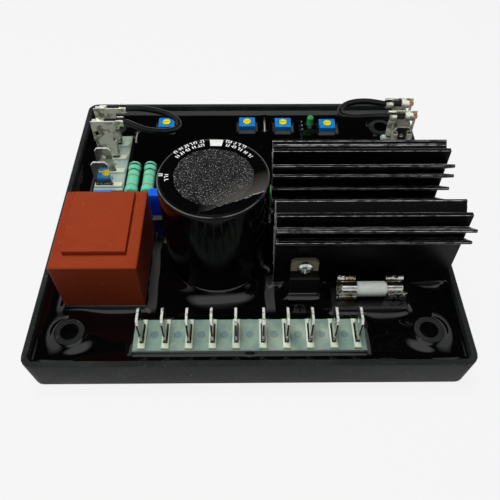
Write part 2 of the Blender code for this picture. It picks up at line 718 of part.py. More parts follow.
def fin_outline(tip, side):
    """One fin's outline from the root of its lower face to the root of its upper face.

    side is -1 for the fins in front of the web and 1 for those behind it.
    """
    reach, drop = tip
    tip_level = SINK_TOP - drop
    slope = math.tan(FIN_ANGLE)
    tip_out = web_half(tip_level) + reach
    root_level = tip_level - reach * slope
    root_out = web_half(root_level)
    upper_tip = Vector((tip_out, tip_level))
    upper_root = Vector((root_out, root_level))
    along = (upper_tip - upper_root).normalized()
    out = Vector((along.y, -along.x))
    lower_root = Vector((web_half(root_level - FIN_ROOT * 1.4), root_level - FIN_ROOT * 1.4))
    lower_tip = upper_tip + out * FIN_TIP
    nose = (upper_tip + lower_tip) / 2 + along * FIN_TIP * 0.45
    points = [lower_root, lower_tip, nose, upper_tip]
    run = (upper_tip - upper_root).length / (TEETH_PER_FIN + 1)
    for tooth in range(1, TEETH_PER_FIN + 1):
        foot = upper_tip - along * run * tooth
        points.append(foot + along * run * 0.3 + out * FIN_TOOTH)
        points.append(foot)
    points.append(upper_root)
    return [(side * point.x, point.y) for point in points]


def sink_outline(front_tips, rear_tips):
    """The extrusion's section in Y and Z, with the web centred on Y = 0."""
    foot, top = web_half(SEAT), web_half(SINK_TOP)
    outline = [(-foot, SEAT), (foot, SEAT)]
    for tip in reversed(rear_tips):
        outline += fin_outline(tip, 1)
    outline += [(top, SINK_TOP), (-top, SINK_TOP)]
    for tip in front_tips:
        outline += reversed(fin_outline(tip, -1))
    return outline


def screw_level():
    return RESIN_TOP + GAP + TRANSISTOR_BODY_HEIGHT + TRANSISTOR_TAB_HEIGHT / 2


def make_heat_sink(name, web_y, facing, screw_x):
    """facing is -1 where the bare mounting face looks to the front, 1 where it looks back."""
    sides = (mounting_tips(), open_tips())
    front_tips, rear_tips = sides if facing < 0 else sides[::-1]
    outline = [(y + web_y, z) for y, z in sink_outline(front_tips, rear_tips)]
    sink = prism(outline, 'X', SINK_LEFT, SINK_RIGHT)
    hole = cylinder(SCREW_SHANK + GAP, -SCREW_BITE - GAP, WEB_THICKNESS, sides=16)
    spot = (screw_x, web_y + facing * WEB_THICKNESS / 2, screw_level())
    hole = moved(hole, spot, Matrix.Rotation(facing * -math.pi / 2, 4, 'X'))
    place(name, mesh_from(carved(sink, [hole]), name, 20), "anodised")
    half = WEB_THICKNESS / 2
    return box_pocket((SINK_LEFT, web_y - half), (SINK_RIGHT, web_y + half))


# Power transistors

def make_transistor(name, web_y, facing, centre_x):
    """A tab with its screw hole, the moulded body under it and three legs into the board."""
    low = RESIN_TOP + GAP
    body_top = low + TRANSISTOR_BODY_HEIGHT
    tab_top = body_top + TRANSISTOR_TAB_HEIGHT
    half, tab_half = TRANSISTOR_WIDTH / 2, TRANSISTOR_TAB_WIDTH / 2
    face = WEB_THICKNESS / 2 + GAP
    outline = [(-tab_half, low + GAP), (tab_half, low + GAP),
               (tab_half, tab_top - TRANSISTOR_CORNER),
               (tab_half - TRANSISTOR_CORNER, tab_top), (TRANSISTOR_CORNER - tab_half, tab_top),
               (-tab_half, tab_top - TRANSISTOR_CORNER)]
    tab = prism(outline, 'Y', -face - TRANSISTOR_TAB_THICKNESS, -face)
    body = box((-half, -face - TRANSISTOR_BODY_THICKNESS, low), (half, -face - GAP, body_top))
    body = bevelled(body, TRANSISTOR_EDGE, 1)
    legs = []
    for step in (-1, 0, 1):
        x = step * LEG_PITCH
        y = -face - LEG_FROM_SINK
        legs.append(box((x - LEG_WIDTH / 2, y - LEG_THICKNESS / 2, SEAT),
                        (x + LEG_WIDTH / 2, y + LEG_THICKNESS / 2, low + LEG_ROOT)))
    device = united([body, tab, joined(legs)])
    hole = cylinder(TRANSISTOR_HOLE, -TRANSISTOR_WIDTH, TRANSISTOR_WIDTH, sides=20)
    hole = moved(hole, (0, 0, screw_level()), Matrix.Rotation(math.pi / 2, 4, 'X'))
    device = carved(device, [hole])
    turn = 0.0 if facing < 0 else math.pi
    place(name, mesh_from(device, name), "device", (centre_x, web_y, 0), turn)
    y = web_y + facing * (face + LEG_FROM_SINK)
    reach = LEG_PITCH + LEG_WIDTH / 2
    return box_pocket((centre_x - reach, y - LEG_THICKNESS / 2),
                      (centre_x + reach, y + LEG_THICKNESS / 2))


def screw_body():
    """A pan head with a cross recess and a plain shank, its seat at zero, head towards +Z."""
    foot = -(2 * GAP + TRANSISTOR_TAB_THICKNESS + SCREW_BITE)
    head = turned([(0, foot), (SCREW_SHANK, foot), (SCREW_SHANK, 0),
                   (SCREW_HEAD, 0), (SCREW_HEAD, SCREW_HEAD_HEIGHT * 0.45),
                   (SCREW_HEAD * 0.8, SCREW_HEAD_HEIGHT * 0.85),
                   (SCREW_HEAD * 0.35, SCREW_HEAD_HEIGHT), (0, SCREW_HEAD_HEIGHT)], 14)
    low = SCREW_HEAD_HEIGHT - SCREW_RECESS_DEPTH
    half, span = SCREW_RECESS_WIDTH / 2, SCREW_RECESS_SPAN / 2
    top = SCREW_HEAD_HEIGHT * 2
    cross = united([box((-span, -half, low), (span, half, top)),
                    box((-half, -span, low), (half, span, top))])
    return carved(head, [cross])


def make_screw(name, web_y, facing, centre_x):
    """A transistor's screw, through its tab into the heat sink."""
    turn = Matrix.Rotation(facing * -math.pi / 2, 4, 'X')
    seat = web_y + facing * (WEB_THICKNESS / 2 + TRANSISTOR_TAB_THICKNESS + 2 * GAP)
    screw = moved(screw_body(), (centre_x, seat, screw_level()), turn)
    place(name, mesh_from(screw, name), "steel")


# Terminal strips and blades

def strip_body(length, width, places, aside=0.0):
    """A moulded strip along X with a rib at each blade and round marks between the ribs.

    aside is how far the blades stand from its middle, in Y.
    """
    bar = box((-length / 2, -width / 2, SEAT), (length / 2, width / 2, STRIP_TOP))
    bar = bevelled(bar, STRIP_EDGE, 1, near_level(STRIP_TOP))
    ribs, slots, marks = [], [], []
    rib_top = STRIP_TOP + RIB_HEIGHT
    room, reach = BLADE_THICKNESS / 2 + GAP, BLADE_WIDTH / 2 + GAP
    for x in places:
        rib = box((x - RIB_WIDTH / 2, RIB_END_MARGIN - width / 2, SEAT + GAP),
                  (x + RIB_WIDTH / 2, width / 2 - RIB_END_MARGIN, rib_top))
        ribs.append(bevelled(rib, RIB_HEIGHT / 2, 2, near_level(rib_top)))
        slots.append(box((x - room, aside - reach, SEAT - GAP),
                         (x + room, aside + reach, rib_top * 2)))
    for first, second in zip(places, places[1:]):
        centre = ((first + second) / 2, 0)
        marks.append(cylinder(EJECTOR_MARK, STRIP_TOP - EJECTOR_DEPTH, rib_top * 2, centre, 12))
    return carved(combined(bar, joined(ribs), 'UNION'), slots + marks)


def blade_body():
    """A blade across Y with chamfered corners and its locking hole."""
    half = BLADE_WIDTH / 2
    outline = [(-half, SEAT), (half, SEAT), (half, BLADE_TOP - BLADE_CORNER),
               (half - BLADE_CORNER * 0.8, BLADE_TOP), (BLADE_CORNER * 0.8 - half, BLADE_TOP),
               (-half, BLADE_TOP - BLADE_CORNER)]
    plate = prism(outline, 'X', -BLADE_THICKNESS / 2, BLADE_THICKNESS / 2)
    hole = cylinder(BLADE_HOLE, -BLADE_WIDTH, BLADE_WIDTH, sides=12)
    hole = moved(hole, (0, 0, BLADE_TOP - BLADE_HOLE_DROP), Matrix.Rotation(math.pi / 2, 4, 'Y'))
    return carved(plate, [hole])


FRONT_STRIP_Y = FRONT + FRONT_STRIP_FROM_FRONT + FRONT_STRIP_WIDTH / 2
LEFT_BLOCK_X = LEFT + LEFT_BLOCK_FROM_LEFT + LEFT_BLOCK_WIDTH / 2
LEFT_BLADE_X = LEFT_BLOCK_X - LEFT_BLADES_ASIDE
RIGHT_BLOCK_X = RIGHT - RIGHT_BLOCK_FROM_RIGHT - RIGHT_BLOCK_WIDTH / 2
BLOCK_BACK_Y = BOSS_Y - BOSS_RADIUS - BOSS_TAPER - BLOCK_BOSS_GAP


def side_blade_y(count, back_margin):
    """Blade positions on a side block, from the front one to the back one."""
    last = BLOCK_BACK_Y - back_margin
    return [last - (count - 1 - index) * SIDE_PITCH for index in range(count)]


LEFT_BLADE_Y = side_blade_y(LEFT_BLADES, LEFT_BLOCK_BACK_MARGIN)
RIGHT_BLADE_Y = side_blade_y(RIGHT_BLADES, RIGHT_BLOCK_MARGIN)


def make_front_strips(blade):
    """Two equal strips of five that meet in the middle, the left one turned round."""
    blades = [FRONT_GROUP_GAP / 2 + index * FRONT_PITCH for index in range(FRONT_GROUP)]
    low, high = GAP / 2, blades[-1] + FRONT_STRIP_MARGIN
    middle = (low + high) / 2
    body = strip_body(high - low, FRONT_STRIP_WIDTH, [x - middle for x in blades])
    strip = mesh_from(body, "front_terminal_strip")
    place("front_terminal_strip_left", strip, "nylon", (-middle, FRONT_STRIP_Y, 0), math.pi)
    place("front_terminal_strip_right", strip, "nylon", (middle, FRONT_STRIP_Y, 0))
    for number, x in enumerate([-x for x in reversed(blades)] + blades, start=1):
        place(f"front_blade_{number:02d}", blade, "tinned", (x, FRONT_STRIP_Y, 0))
    half = FRONT_STRIP_WIDTH / 2
    return box_pocket((-high, FRONT_STRIP_Y - half), (high, FRONT_STRIP_Y + half))


def make_side_block(side, blade, block, blade_x, blade_y, margins):
    """A block along Y: the strip's shape turned a quarter, its blades facing the front.

    block is its middle in X and its width.
    """
    block_x, width = block
    low, high = blade_y[0] - margins[0], blade_y[-1] + margins[1]
    middle = (low + high) / 2
    body = strip_body(high - low, width, [y - middle for y in blade_y], block_x - blade_x)
    name = side + "_terminal_block"
    place(name, mesh_from(body, name), "nylon", (block_x, middle, 0), math.pi / 2)
    for number, y in enumerate(blade_y, start=1):
        place(f"{side}_blade_{number}", blade, "tinned", (blade_x, y, 0), math.pi / 2)
    return box_pocket((block_x - width / 2, low), (block_x + width / 2, high))


# Flag receptacles

ROLL_TOP = BLADE_TOP - ROLL_DROP
RECEPTACLE_BACK = -(BLADE_THICKNESS / 2 + TAB_GAP)
ROLL_CENTRE = BLADE_WIDTH / 2 + ROLL_CLEAR + SHEET / 2 - ROLL_RADIUS
RECEPTACLE_HALF = ROLL_CENTRE + ROLL_RADIUS + SHEET / 2
BARREL_LEVEL = BLADE_TOP + BARREL_RISE
BARREL_START = BARREL_INSET - RECEPTACLE_HALF
BARREL_END = BARREL_START + BARREL_LENGTH
WIRE_OFFSET = RECEPTACLE_BACK - SHEET + CLAW_RADIUS


def ribbon(centre_line, thickness):
    """A closed outline round an open centre line."""
    points = [Vector(point) for point in centre_line]
    left, right = [], []
    for index, point in enumerate(points):
        before, after = points[max(index - 1, 0)], points[min(index + 1, len(points) - 1)]
        along = (after - before).normalized()
        across = Vector((-along.y, along.x)) * thickness / 2
        left.append(point + across)
        right.append(point - across)
    return [(point.x, point.y) for point in left + right[::-1]]


def roll_line():
    """The body's centre line: a flat back with both edges rolled round the blade."""
    back = RECEPTACLE_BACK - SHEET / 2
    turn = math.degrees(ROLL_TURN)
    right = arc((ROLL_CENTRE, back + ROLL_RADIUS), ROLL_RADIUS, -90, -90 + turn, 8)
    left = [(-x, y) for x, y in reversed(right)]
    return left + right


def lying(bm, start):
    """Turns an upright body to lie along X at the wire's axis, from the given place."""
    return moved(bm, (start, WIRE_OFFSET, BARREL_LEVEL), Matrix.Rotation(math.pi / 2, 4, 'Y'))


def receptacle_body(spacing):
    """A flag receptacle over a blade that lies across X. Its wire leaves towards +X.

    A flat back with rolled edges grips the blade. Above it a flag carries the crimped barrel
    with the strands' end and, a spacing further along, the claws that hold the insulation.
    """
    half = RECEPTACLE_HALF
    body = prism(ribbon(roll_line(), SHEET), 'Z', ROLL_TOP - ROLL_HEIGHT, ROLL_TOP)
    claw_start = BARREL_END + spacing
    claw_end = claw_start + CLAW_LENGTH
    under = BARREL_LEVEL - CLAW_RADIUS / 2
    flag_top = BARREL_LEVEL + BARREL_RADIUS
    root = ROLL_CENTRE * 0.9
    flag = [(-root, ROLL_TOP - 2 * SHEET), (root, ROLL_TOP - 2 * SHEET), (half, under),
            (claw_end, under), (claw_end, flag_top), (-half, flag_top), (-half, ROLL_TOP + SHEET)]
    plate = prism(flag, 'Y', RECEPTACLE_BACK - SHEET, RECEPTACLE_BACK)
    window_low = BLADE_TOP + WINDOW_RISE - WINDOW_HEIGHT / 2
    window = box((-WINDOW_ASIDE - WINDOW_WIDTH / 2, RECEPTACLE_BACK - 2 * SHEET, window_low),
                 (-WINDOW_ASIDE + WINDOW_WIDTH / 2, RECEPTACLE_BACK + SHEET,
                  window_low + WINDOW_HEIGHT))
    plate = carved(plate, [window])
    barrel = lying(cylinder(BARREL_RADIUS, 0, BARREL_LENGTH, sides=12), BARREL_START)
    strands = lying(cylinder(STRAND_RADIUS, -STRAND_END, BARREL_LENGTH / 2, sides=8), BARREL_START)
    saddle = box((BARREL_START + SHEET / 2, RECEPTACLE_BACK - SHEET / 2,
                  BARREL_LEVEL - BARREL_RADIUS / 2),
                 (BARREL_END - SHEET / 2, WIRE_OFFSET, BARREL_LEVEL + BARREL_RADIUS / 2))
    opening = math.degrees(CLAW_OPENING) / 2
    line = arc((WIRE_OFFSET, BARREL_LEVEL), CLAW_RADIUS - SHEET / 2, 90 + opening,
               450 - opening, 9)
    claws = prism(ribbon(line, SHEET), 'X', claw_start, claw_end - SHEET / 4)
    return united([body, plate, saddle, barrel, strands, claws])


def make_receptacles(side, blade_x, blade_y, spacing, turn):
    """Two on the rearmost blades of a side block."""
    flag = mesh_from(receptacle_body(spacing), side + "_receptacle")
    for which, y in zip(("front", "rear"), blade_y[-2:]):
        place(f"{side}_{which}_receptacle", flag, "tinned", (blade_x, y, 0), turn)


# Jumper wires

# Each loop in two halves: steps in mm out from the rear receptacle, then back to the front one
LEFT_LOOP = (
    [(4.0, 0.0, 0.0), (8.0, 0.0, 0.0), (11.6, 0.3, -0.2), (16.2, 1.2, -1.5), (21.4, 1.6, -3.4),
     (25.8, 0.3, -5.0), (27.6, -2.8, -6.0)],
    [(25.8, 2.0, -5.8), (21.2, -0.2, -4.8), (15.4, -1.1, -3.1), (11.4, -0.7, -1.6),
     (8.0, -0.1, -0.3), (4.0, 0.0, 0.0)])
RIGHT_LOOP = (
    [(-3.3, 0.0, 0.0), (-6.6, 0.0, 0.0), (-9.8, 0.3, 0.4), (-13.5, 0.9, 0.5), (-18.0, 1.4, -0.1),
     (-21.6, 1.3, -1.4), (-23.9, -0.6, -2.6)],
    [(-23.4, 4.7, -3.0), (-19.8, 2.5, -2.2), (-15.0, 1.3, -1.1), (-10.6, 0.4, -0.2),
     (-6.6, 0.0, 0.0), (-3.3, 0.0, 0.0)])


def smooth_route(points):
    """A smooth curve through the chosen points, with even pieces between each two."""
    route = [points[0]]
    for index in range(len(points) - 1):
        p0 = points[max(index - 1, 0)]
        p1, p2 = points[index], points[index + 1]
        p3 = points[min(index + 2, len(points) - 1)]
        for step in range(1, ROUTE_STEPS + 1):
            t = step / ROUTE_STEPS
            route.append(0.5 * (2 * p1 + (p2 - p0) * t + (2 * p0 - 5 * p1 + 4 * p2 - p3) * t * t
                                + (3 * p1 - p0 - 3 * p2 + p3) * t ** 3))
    return route


def wire_end(blade_x, blade_y, side):
    """Where the insulation stops short of a conductor crimp. side is 1 for wires towards +X."""
    return Vector((blade_x + side * (BARREL_END + GAP), blade_y + side * WIRE_OFFSET,
                   BARREL_LEVEL))


def make_wire(name, blade_x, blade_y, side, loop):
    front, rear = [wire_end(blade_x, y, side) for y in blade_y[-2:]]
    out, back = loop
    between = [rear + Vector(step) * MM for step in out]
    between += [front + Vector(step) * MM for step in back]
    route = smooth_route([rear] + between + [front])
    curve = bpy.data.curves.new(name, 'CURVE')
    curve.dimensions = '3D'
    curve.bevel_depth = WIRE_RADIUS
    curve.bevel_resolution = WIRE_RESOLUTION
    curve.use_fill_caps = True
    spline = curve.splines.new('POLY')
    spline.points.add(len(route) - 1)
    for spot, point in zip(spline.points, route):
        spot.co = (*point, 1)
    curve.materials.append(material("wire"))
    bpy.context.scene.collection.objects.link(bpy.data.objects.new(name, curve))


# Trimmers

def trimmer_body():
    """A square body with a round recess for its rotor."""
    half_x, half_y = TRIMMER_WIDTH / 2, TRIMMER_DEPTH / 2
    body = bevelled(box((-half_x, -half_y, SEAT), (half_x, half_y, TRIMMER_TOP)),
                    TRIMMER_EDGE, 1, near_level(TRIMMER_TOP))
    floor = TRIMMER_TOP + ROTOR_PROUD - ROTOR_HEIGHT - GAP
    recess = cylinder(ROTOR_RADIUS + TURNING_GAP, floor, TRIMMER_TOP * 2, sides=18)
    return carved(body, [recess])


def rotor_body():
    """The rotor's own origin is on its axis, at its underside."""
    disc = cylinder(ROTOR_RADIUS, 0, ROTOR_HEIGHT, sides=18)
    half = ROTOR_SLOT_WIDTH / 2
    slot = box((-ROTOR_RADIUS * 0.8, -half, ROTOR_HEIGHT - ROTOR_SLOT_DEPTH),
               (ROTOR_RADIUS * 0.8, half, ROTOR_HEIGHT * 2))
    return carved(disc, [slot])


def in_back_row(place_in_row):
    """The X and Y of a place in the row along the back."""
    share, from_back = place_in_row
    return share * CASE_WIDTH, BACK - from_back


def trimmer_places():
    """Four in the back row and a lone one in front of the left block, below its blades."""
    places = {name: in_back_row(spot) for name, spot in TRIMMER_ROW.items()}
    block_front = LEFT_BLADE_Y[0] - LEFT_BLOCK_FRONT_MARGIN
    places["trimmer_5"] = (LEFT_BLADE_X, block_front - LONE_TRIMMER_FROM_BLOCK - TRIMMER_DEPTH / 2)
    return places


def make_trimmers():
    body = mesh_from(trimmer_body(), "trimmer")
    rotor = mesh_from(rotor_body(), "rotor")
    level = TRIMMER_TOP + ROTOR_PROUD - ROTOR_HEIGHT
    pockets = []
    for name, (x, y) in trimmer_places().items():
        place(name + "_body", body, "blue", (x, y, 0))
        place(name + "_rotor", rotor, "yellow", (x, y, level))
        half_x, half_y = TRIMMER_WIDTH / 2, TRIMMER_DEPTH / 2
        pockets.append(box_pocket((x - half_x, y - half_y), (x + half_x, y + half_y)))
    return pockets


# Fuse

FUSE_X = TRANSISTOR_X + TRANSISTOR_WIDTH / 2 + HOLDER_FROM_TRANSISTOR + HOLDER_LENGTH / 2
FUSE_Y = FRONT + FUSE_FROM_FRONT
CLIP_LOW = HOLDER_TOP + GAP
FUSE_AXIS = CLIP_LOW + AXIS_OVER_CLIP


def laid(bm, end, side):
    """Turns an upright body to lie along X from one end of the fuse, inwards."""
    turn = Matrix.Rotation(side * math.pi / 2, 4, 'Y')
    return moved(bm, (FUSE_X - side * end, FUSE_Y, FUSE_AXIS), turn)


def make_fuse():
    half = FUSE_LENGTH / 2
    neck = CAP_RADIUS - CAP_WALL - GAP
    shoulder = CAP_LENGTH + GAP
    inside = CAP_WALL + GAP
    tube = turned([(0, inside), (neck, inside), (neck, shoulder), (FUSE_RADIUS, shoulder),
                   (FUSE_RADIUS, FUSE_LENGTH - shoulder), (neck, FUSE_LENGTH - shoulder),
                   (neck, FUSE_LENGTH - inside), (0, FUSE_LENGTH - inside)], 18)
    place("fuse_tube", mesh_from(laid(tube, half, 1), "fuse_tube"), "ceramic")
    bore = CAP_RADIUS - CAP_WALL
    for name, side in (("fuse_cap_left", 1), ("fuse_cap_right", -1)):
        cap = turned([(0, 0), (CAP_RADIUS - CAP_EDGE, 0), (CAP_RADIUS, CAP_EDGE),
                      (CAP_RADIUS, CAP_LENGTH), (bore, CAP_LENGTH), (bore, CAP_WALL),
                      (0, CAP_WALL)], 18)
        place(name, mesh_from(laid(cap, half, side), name), "steel")


def clip_line():
    """The clip's centre line in Y and Z: sole, two leaves round the cap, two lips."""
    radius = CAP_RADIUS + GAP + CLIP_SHEET / 2
    sole = CLIP_LOW + CLIP_SHEET / 2
    centre = (FUSE_Y, FUSE_AXIS)
    right = arc(centre, radius, -52, 32, 6)
    last = right[-1]
    lip = [(last[0] + CLIP_LIP_OUT / 2, last[1] + CLIP_LIP_UP * 0.75),
           (last[0] + CLIP_LIP_OUT, last[1] + CLIP_LIP_UP)]
    right = [(FUSE_Y + CLIP_SOLE * 0.8, sole)] + right + lip
    left = [(2 * FUSE_Y - y, z) for y, z in reversed(right)]
    return left + right


def make_fuse_holder():
    outline = ribbon(clip_line(), CLIP_SHEET)
    for name, side in (("left", -1), ("right", 1)):
        outer = FUSE_X + side * (FUSE_LENGTH / 2 + CLIP_OVERHANG)
        inner = outer - side * CLIP_WIDTH
        clip = prism(outline, 'X', min(inner, outer), max(inner, outer))
        place(f"fuse_clip_{name}", mesh_from(clip, f"fuse_clip_{name}"), "tinned")
    low = (FUSE_X - HOLDER_LENGTH / 2, FUSE_Y - HOLDER_WIDTH / 2)
    high = (FUSE_X + HOLDER_LENGTH / 2, FUSE_Y + HOLDER_WIDTH / 2)
    base = bevelled(box((*low, SEAT), (*high, HOLDER_TOP)), HOLDER_EDGE, 2,
                    near_level(HOLDER_TOP))
    place("fuse_holder_base", mesh_from(base, "fuse_holder_base"), "bakelite")
    return box_pocket(low, high)


# Small parts on the board

def resistor_body():
    """A resistor along Y with swelled ends, lying on the resin with its leads bent down."""
    half, big, waist = RESISTOR_LENGTH / 2, RESISTOR_RADIUS, RESISTOR_WAIST
    step = RESISTOR_ROUND
    profile = [(0, -half), (big - step, -half), (big - step * 0.3, -half + step * 0.3),
               (big, -half + step), (big, -half + RESISTOR_END - step),
               (waist, -half + RESISTOR_END)]
    profile += [(radius, -height) for radius, height in reversed(profile)]
    level = RESIN_TOP + GAP + RESISTOR_RADIUS
    body = moved(turned(profile, 16), (0, 0, level), Matrix.Rotation(-math.pi / 2, 4, 'X'))
    parts = [body]
    for side in (-1, 1):
        end = half + LEAD_RUN
        bend = arc((end - LEAD_BEND, level - LEAD_BEND), LEAD_BEND, 90, 0, 3)
        path = [(0, side * (half - step), level)]
        path += [(0, side * y, z) for y, z in bend] + [(0, side * end, SEAT)]
        parts.append(swept(path, LEAD_RADIUS, 6))
    return united(parts)


def make_resistors():
    pockets = []
    mesh = mesh_from(resistor_body(), "resistor")
    x = LEFT_BLOCK_X + LEFT_BLOCK_WIDTH / 2 + RESISTOR_FROM_BLOCK + RESISTOR_RADIUS
    y = BACK - RESISTOR_FROM_BACK
    for name in ("resistor_left", "resistor_right"):
        place(name, mesh, "mint", (x, y, 0))
        for side in (-1, 1):
            spot = (x, y + side * (RESISTOR_LENGTH / 2 + LEAD_RUN))
            pockets.append(round_pocket(spot, LEAD_RADIUS, 8))
        x += RESISTOR_PITCH
    return pockets


def make_led():
    x, y = in_back_row(LED)
    profile = [(0, SEAT), (LED_RADIUS, SEAT)]
    profile += arc((0, RESIN_TOP + LED_RISE - LED_RADIUS), LED_RADIUS, 0, 90, 5)
    place("status_led", mesh_from(turned(profile, 14), "status_led"), "led", (x, y, 0))
    return round_pocket((x, y), LED_RADIUS, 16)


def board_pins():
    """Three square pins in a row, soldered into the board, and their room in the resin."""
    x, middle = in_back_row(PINS)
    pins, pockets = [], []
    half, top = PIN_WIDTH / 2, RESIN_TOP + PIN_RISE
    for index in range(PIN_COUNT):
        y = middle + (index - (PIN_COUNT - 1) / 2) * PIN_PITCH
        pin = box((x - half, y - half, SOLDER_LEVEL), (x + half, y + half, top))
        pins.append(bevelled(pin, half / 2, 1, near_level(top)))
        pockets.append(box_pocket((x - half, y - half), (x + half, y + half)))
    return pins, pockets


def make_board_capacitors():
    blue_low = (TRANSFORMER_RIGHT - BLUE_OVERLAP, TRANSFORMER_BACK + BLUE_BEHIND)
    blue_high = (blue_low[0] + BLUE_WIDTH, blue_low[1] + BLUE_DEPTH)
    blue = bevelled(box((*blue_low, SEAT), (*blue_high, RESIN_TOP + BLUE_RISE)), BLUE_EDGE, 3)
    place("blue_capacitor", mesh_from(blue, "blue_capacitor"), "deep_blue")
    middle = SINK_LEFT - GREEN_ASIDE
    green_low = (middle - GREEN_WIDTH / 2, REAR_WEB_Y + GREEN_BEHIND)
    green_high = (middle + GREEN_WIDTH / 2, green_low[1] + GREEN_DEPTH)
    green = box((*green_low, SEAT), (*green_high, RESIN_TOP + GREEN_RISE))
    green = bevelled(green, GREEN_EDGE, 3)
    place("green_capacitor", mesh_from(green, "green_capacitor"), "green")
    return [box_pocket(blue_low, blue_high), box_pocket(green_low, green_high)]


def board_links():
    """Bare wire links that arch over the resin, and their room in it."""
    left_x = LEFT_BLOCK_X + LEFT_BLOCK_WIDTH / 2 + LEFT_LINK_FROM_BLOCK
    places = [(left_x, BACK - LEFT_LINK_FROM_BACK, LEFT_LINK_LENGTH),
              (*in_back_row(REAR_LINK), REAR_LINK_LENGTH)]
    links, pockets = [], []
    top = RESIN_TOP + LINK_RISE
    for x, y, length in places:
        end = length / 2
        half = [(y + end, SOLDER_LEVEL)]
        half += arc((y + end - LINK_BEND, top - LINK_BEND), LINK_BEND, 0, 90, 3)
        path = half + [(2 * y - end_y, z) for end_y, z in reversed(half)]
        links.append(swept([(x, end_y, z) for end_y, z in path], LINK_RADIUS, LINK_SIDES))
        pockets += [round_pocket((x, y + side * end), LINK_RADIUS, 8) for side in (-1, 1)]
    return links, pockets


def main():
    clear_scene()
    blade = mesh_from(blade_body(), "blade")

    make_tray()
    pockets = make_board()
    pockets += [make_transformer(), make_capacitor()]
    for name, web_y, facing in (("front", FRONT_WEB_Y, -1), ("rear", REAR_WEB_Y, 1)):
        pockets.append(make_heat_sink(f"{name}_heat_sink", web_y, facing, TRANSISTOR_X))
        pockets.append(make_transistor(f"{name}_power_transistor", web_y, facing, TRANSISTOR_X))
        make_screw(f"{name}_transistor_screw", web_y, facing, TRANSISTOR_X)
    pockets.append(make_front_strips(blade))
    pockets.append(make_side_block("left", blade, (LEFT_BLOCK_X, LEFT_BLOCK_WIDTH),
                                   LEFT_BLADE_X, LEFT_BLADE_Y,
                                   (LEFT_BLOCK_FRONT_MARGIN, LEFT_BLOCK_BACK_MARGIN)))
    pockets.append(make_side_block("right", blade, (RIGHT_BLOCK_X, RIGHT_BLOCK_WIDTH),
                                   RIGHT_BLOCK_X, RIGHT_BLADE_Y,
                                   (RIGHT_BLOCK_MARGIN, RIGHT_BLOCK_MARGIN)))
    make_receptacles("left", LEFT_BLADE_X, LEFT_BLADE_Y, LEFT_CRIMP_SPACING, 0.0)
    make_receptacles("right", RIGHT_BLOCK_X, RIGHT_BLADE_Y, RIGHT_CRIMP_SPACING, math.pi)
    make_wire("left_jumper_wire", LEFT_BLADE_X, LEFT_BLADE_Y, 1, LEFT_LOOP)
    make_wire("right_jumper_wire", RIGHT_BLOCK_X, RIGHT_BLADE_Y, -1, RIGHT_LOOP)
    pockets += make_trimmers()
    make_fuse()
    pockets.append(make_fuse_holder())
    pockets += make_resistors()
    pockets.append(make_led())
    pockets += make_board_capacitors()
    make_resin(pockets)


main()
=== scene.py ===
"""Looks, light and camera for the potted voltage regulator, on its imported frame. Metres, +Z up."""
import math
import random

import bmesh
import bpy
import numpy as np
from mathutils import Matrix, Vector


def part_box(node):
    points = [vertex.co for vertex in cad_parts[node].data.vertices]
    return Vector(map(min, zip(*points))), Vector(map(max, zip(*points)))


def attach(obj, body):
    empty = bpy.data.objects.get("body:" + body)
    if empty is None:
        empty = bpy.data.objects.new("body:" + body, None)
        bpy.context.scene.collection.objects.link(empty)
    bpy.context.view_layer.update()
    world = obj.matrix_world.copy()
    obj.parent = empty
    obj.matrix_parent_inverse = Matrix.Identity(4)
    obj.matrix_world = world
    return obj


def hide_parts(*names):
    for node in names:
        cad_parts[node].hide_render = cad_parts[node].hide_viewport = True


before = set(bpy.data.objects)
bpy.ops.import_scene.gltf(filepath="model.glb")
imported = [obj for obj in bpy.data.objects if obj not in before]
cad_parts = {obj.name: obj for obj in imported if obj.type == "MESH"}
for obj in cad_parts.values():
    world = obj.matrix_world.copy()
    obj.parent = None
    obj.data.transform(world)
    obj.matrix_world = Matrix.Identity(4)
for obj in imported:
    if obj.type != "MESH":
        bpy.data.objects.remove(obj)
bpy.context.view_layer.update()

MM = 0.001
RESIN = 10.2 * MM

# Shared places and sizes, in millimetres
BOSS_X, BOSS_Y, BOSS_RADIUS = 57.5, 50.5, 5.1
CAP_X, CAP_Y, CAP_RADIUS = -10.9, -18.0, 17.5
CAP_TOP = 48.96
PRINT_LEVEL = 48.99
WIRE_RADIUS = 1.15

CAP_CENTRE = Vector((CAP_X * MM, CAP_Y * MM, 0))

# Heights in metres: blades are clean from the first one up, and grimy below the second
CLEAN_FROM, GRIMY_BELOW = 0.0165, 0.0145


# Camera

def set_camera():
    """The photograph's place and angle."""
    yaw, pitch, roll = 0.01166, 0.8974, 0.00437
    ahead = Vector((math.sin(yaw) * math.cos(pitch), math.cos(yaw) * math.cos(pitch),
                    -math.sin(pitch)))
    right = Vector((math.cos(yaw), -math.sin(yaw), 0))
    up = right.cross(ahead)
    side = math.cos(roll) * right + math.sin(roll) * up
    top = math.cos(roll) * up - math.sin(roll) * right
    lens = bpy.data.cameras.new("camera")
    lens.sensor_width = 36.0
    lens.lens = 40.2
    lens.clip_start = 0.01
    camera = bpy.data.objects.new("camera", lens)
    camera.matrix_world = Matrix((side, top, -ahead)).transposed().to_4x4()
    camera.location = (-1.051 * MM, -141.646 * MM, 167.368 * MM)
    bpy.context.scene.collection.objects.link(camera)
    bpy.context.scene.camera = camera


# Shader helpers

def add(tree, kind, inputs=None, **settings):
    """A shader node with its settings, and each input linked or set."""
    made = tree.nodes.new(kind)
    for name, value in settings.items():
        setattr(made, name, value)
    for name, value in (inputs or {}).items():
        if isinstance(value, bpy.types.NodeSocket):
            tree.links.new(value, made.inputs[name])
        else:
            made.inputs[name].default_value = value
    return made


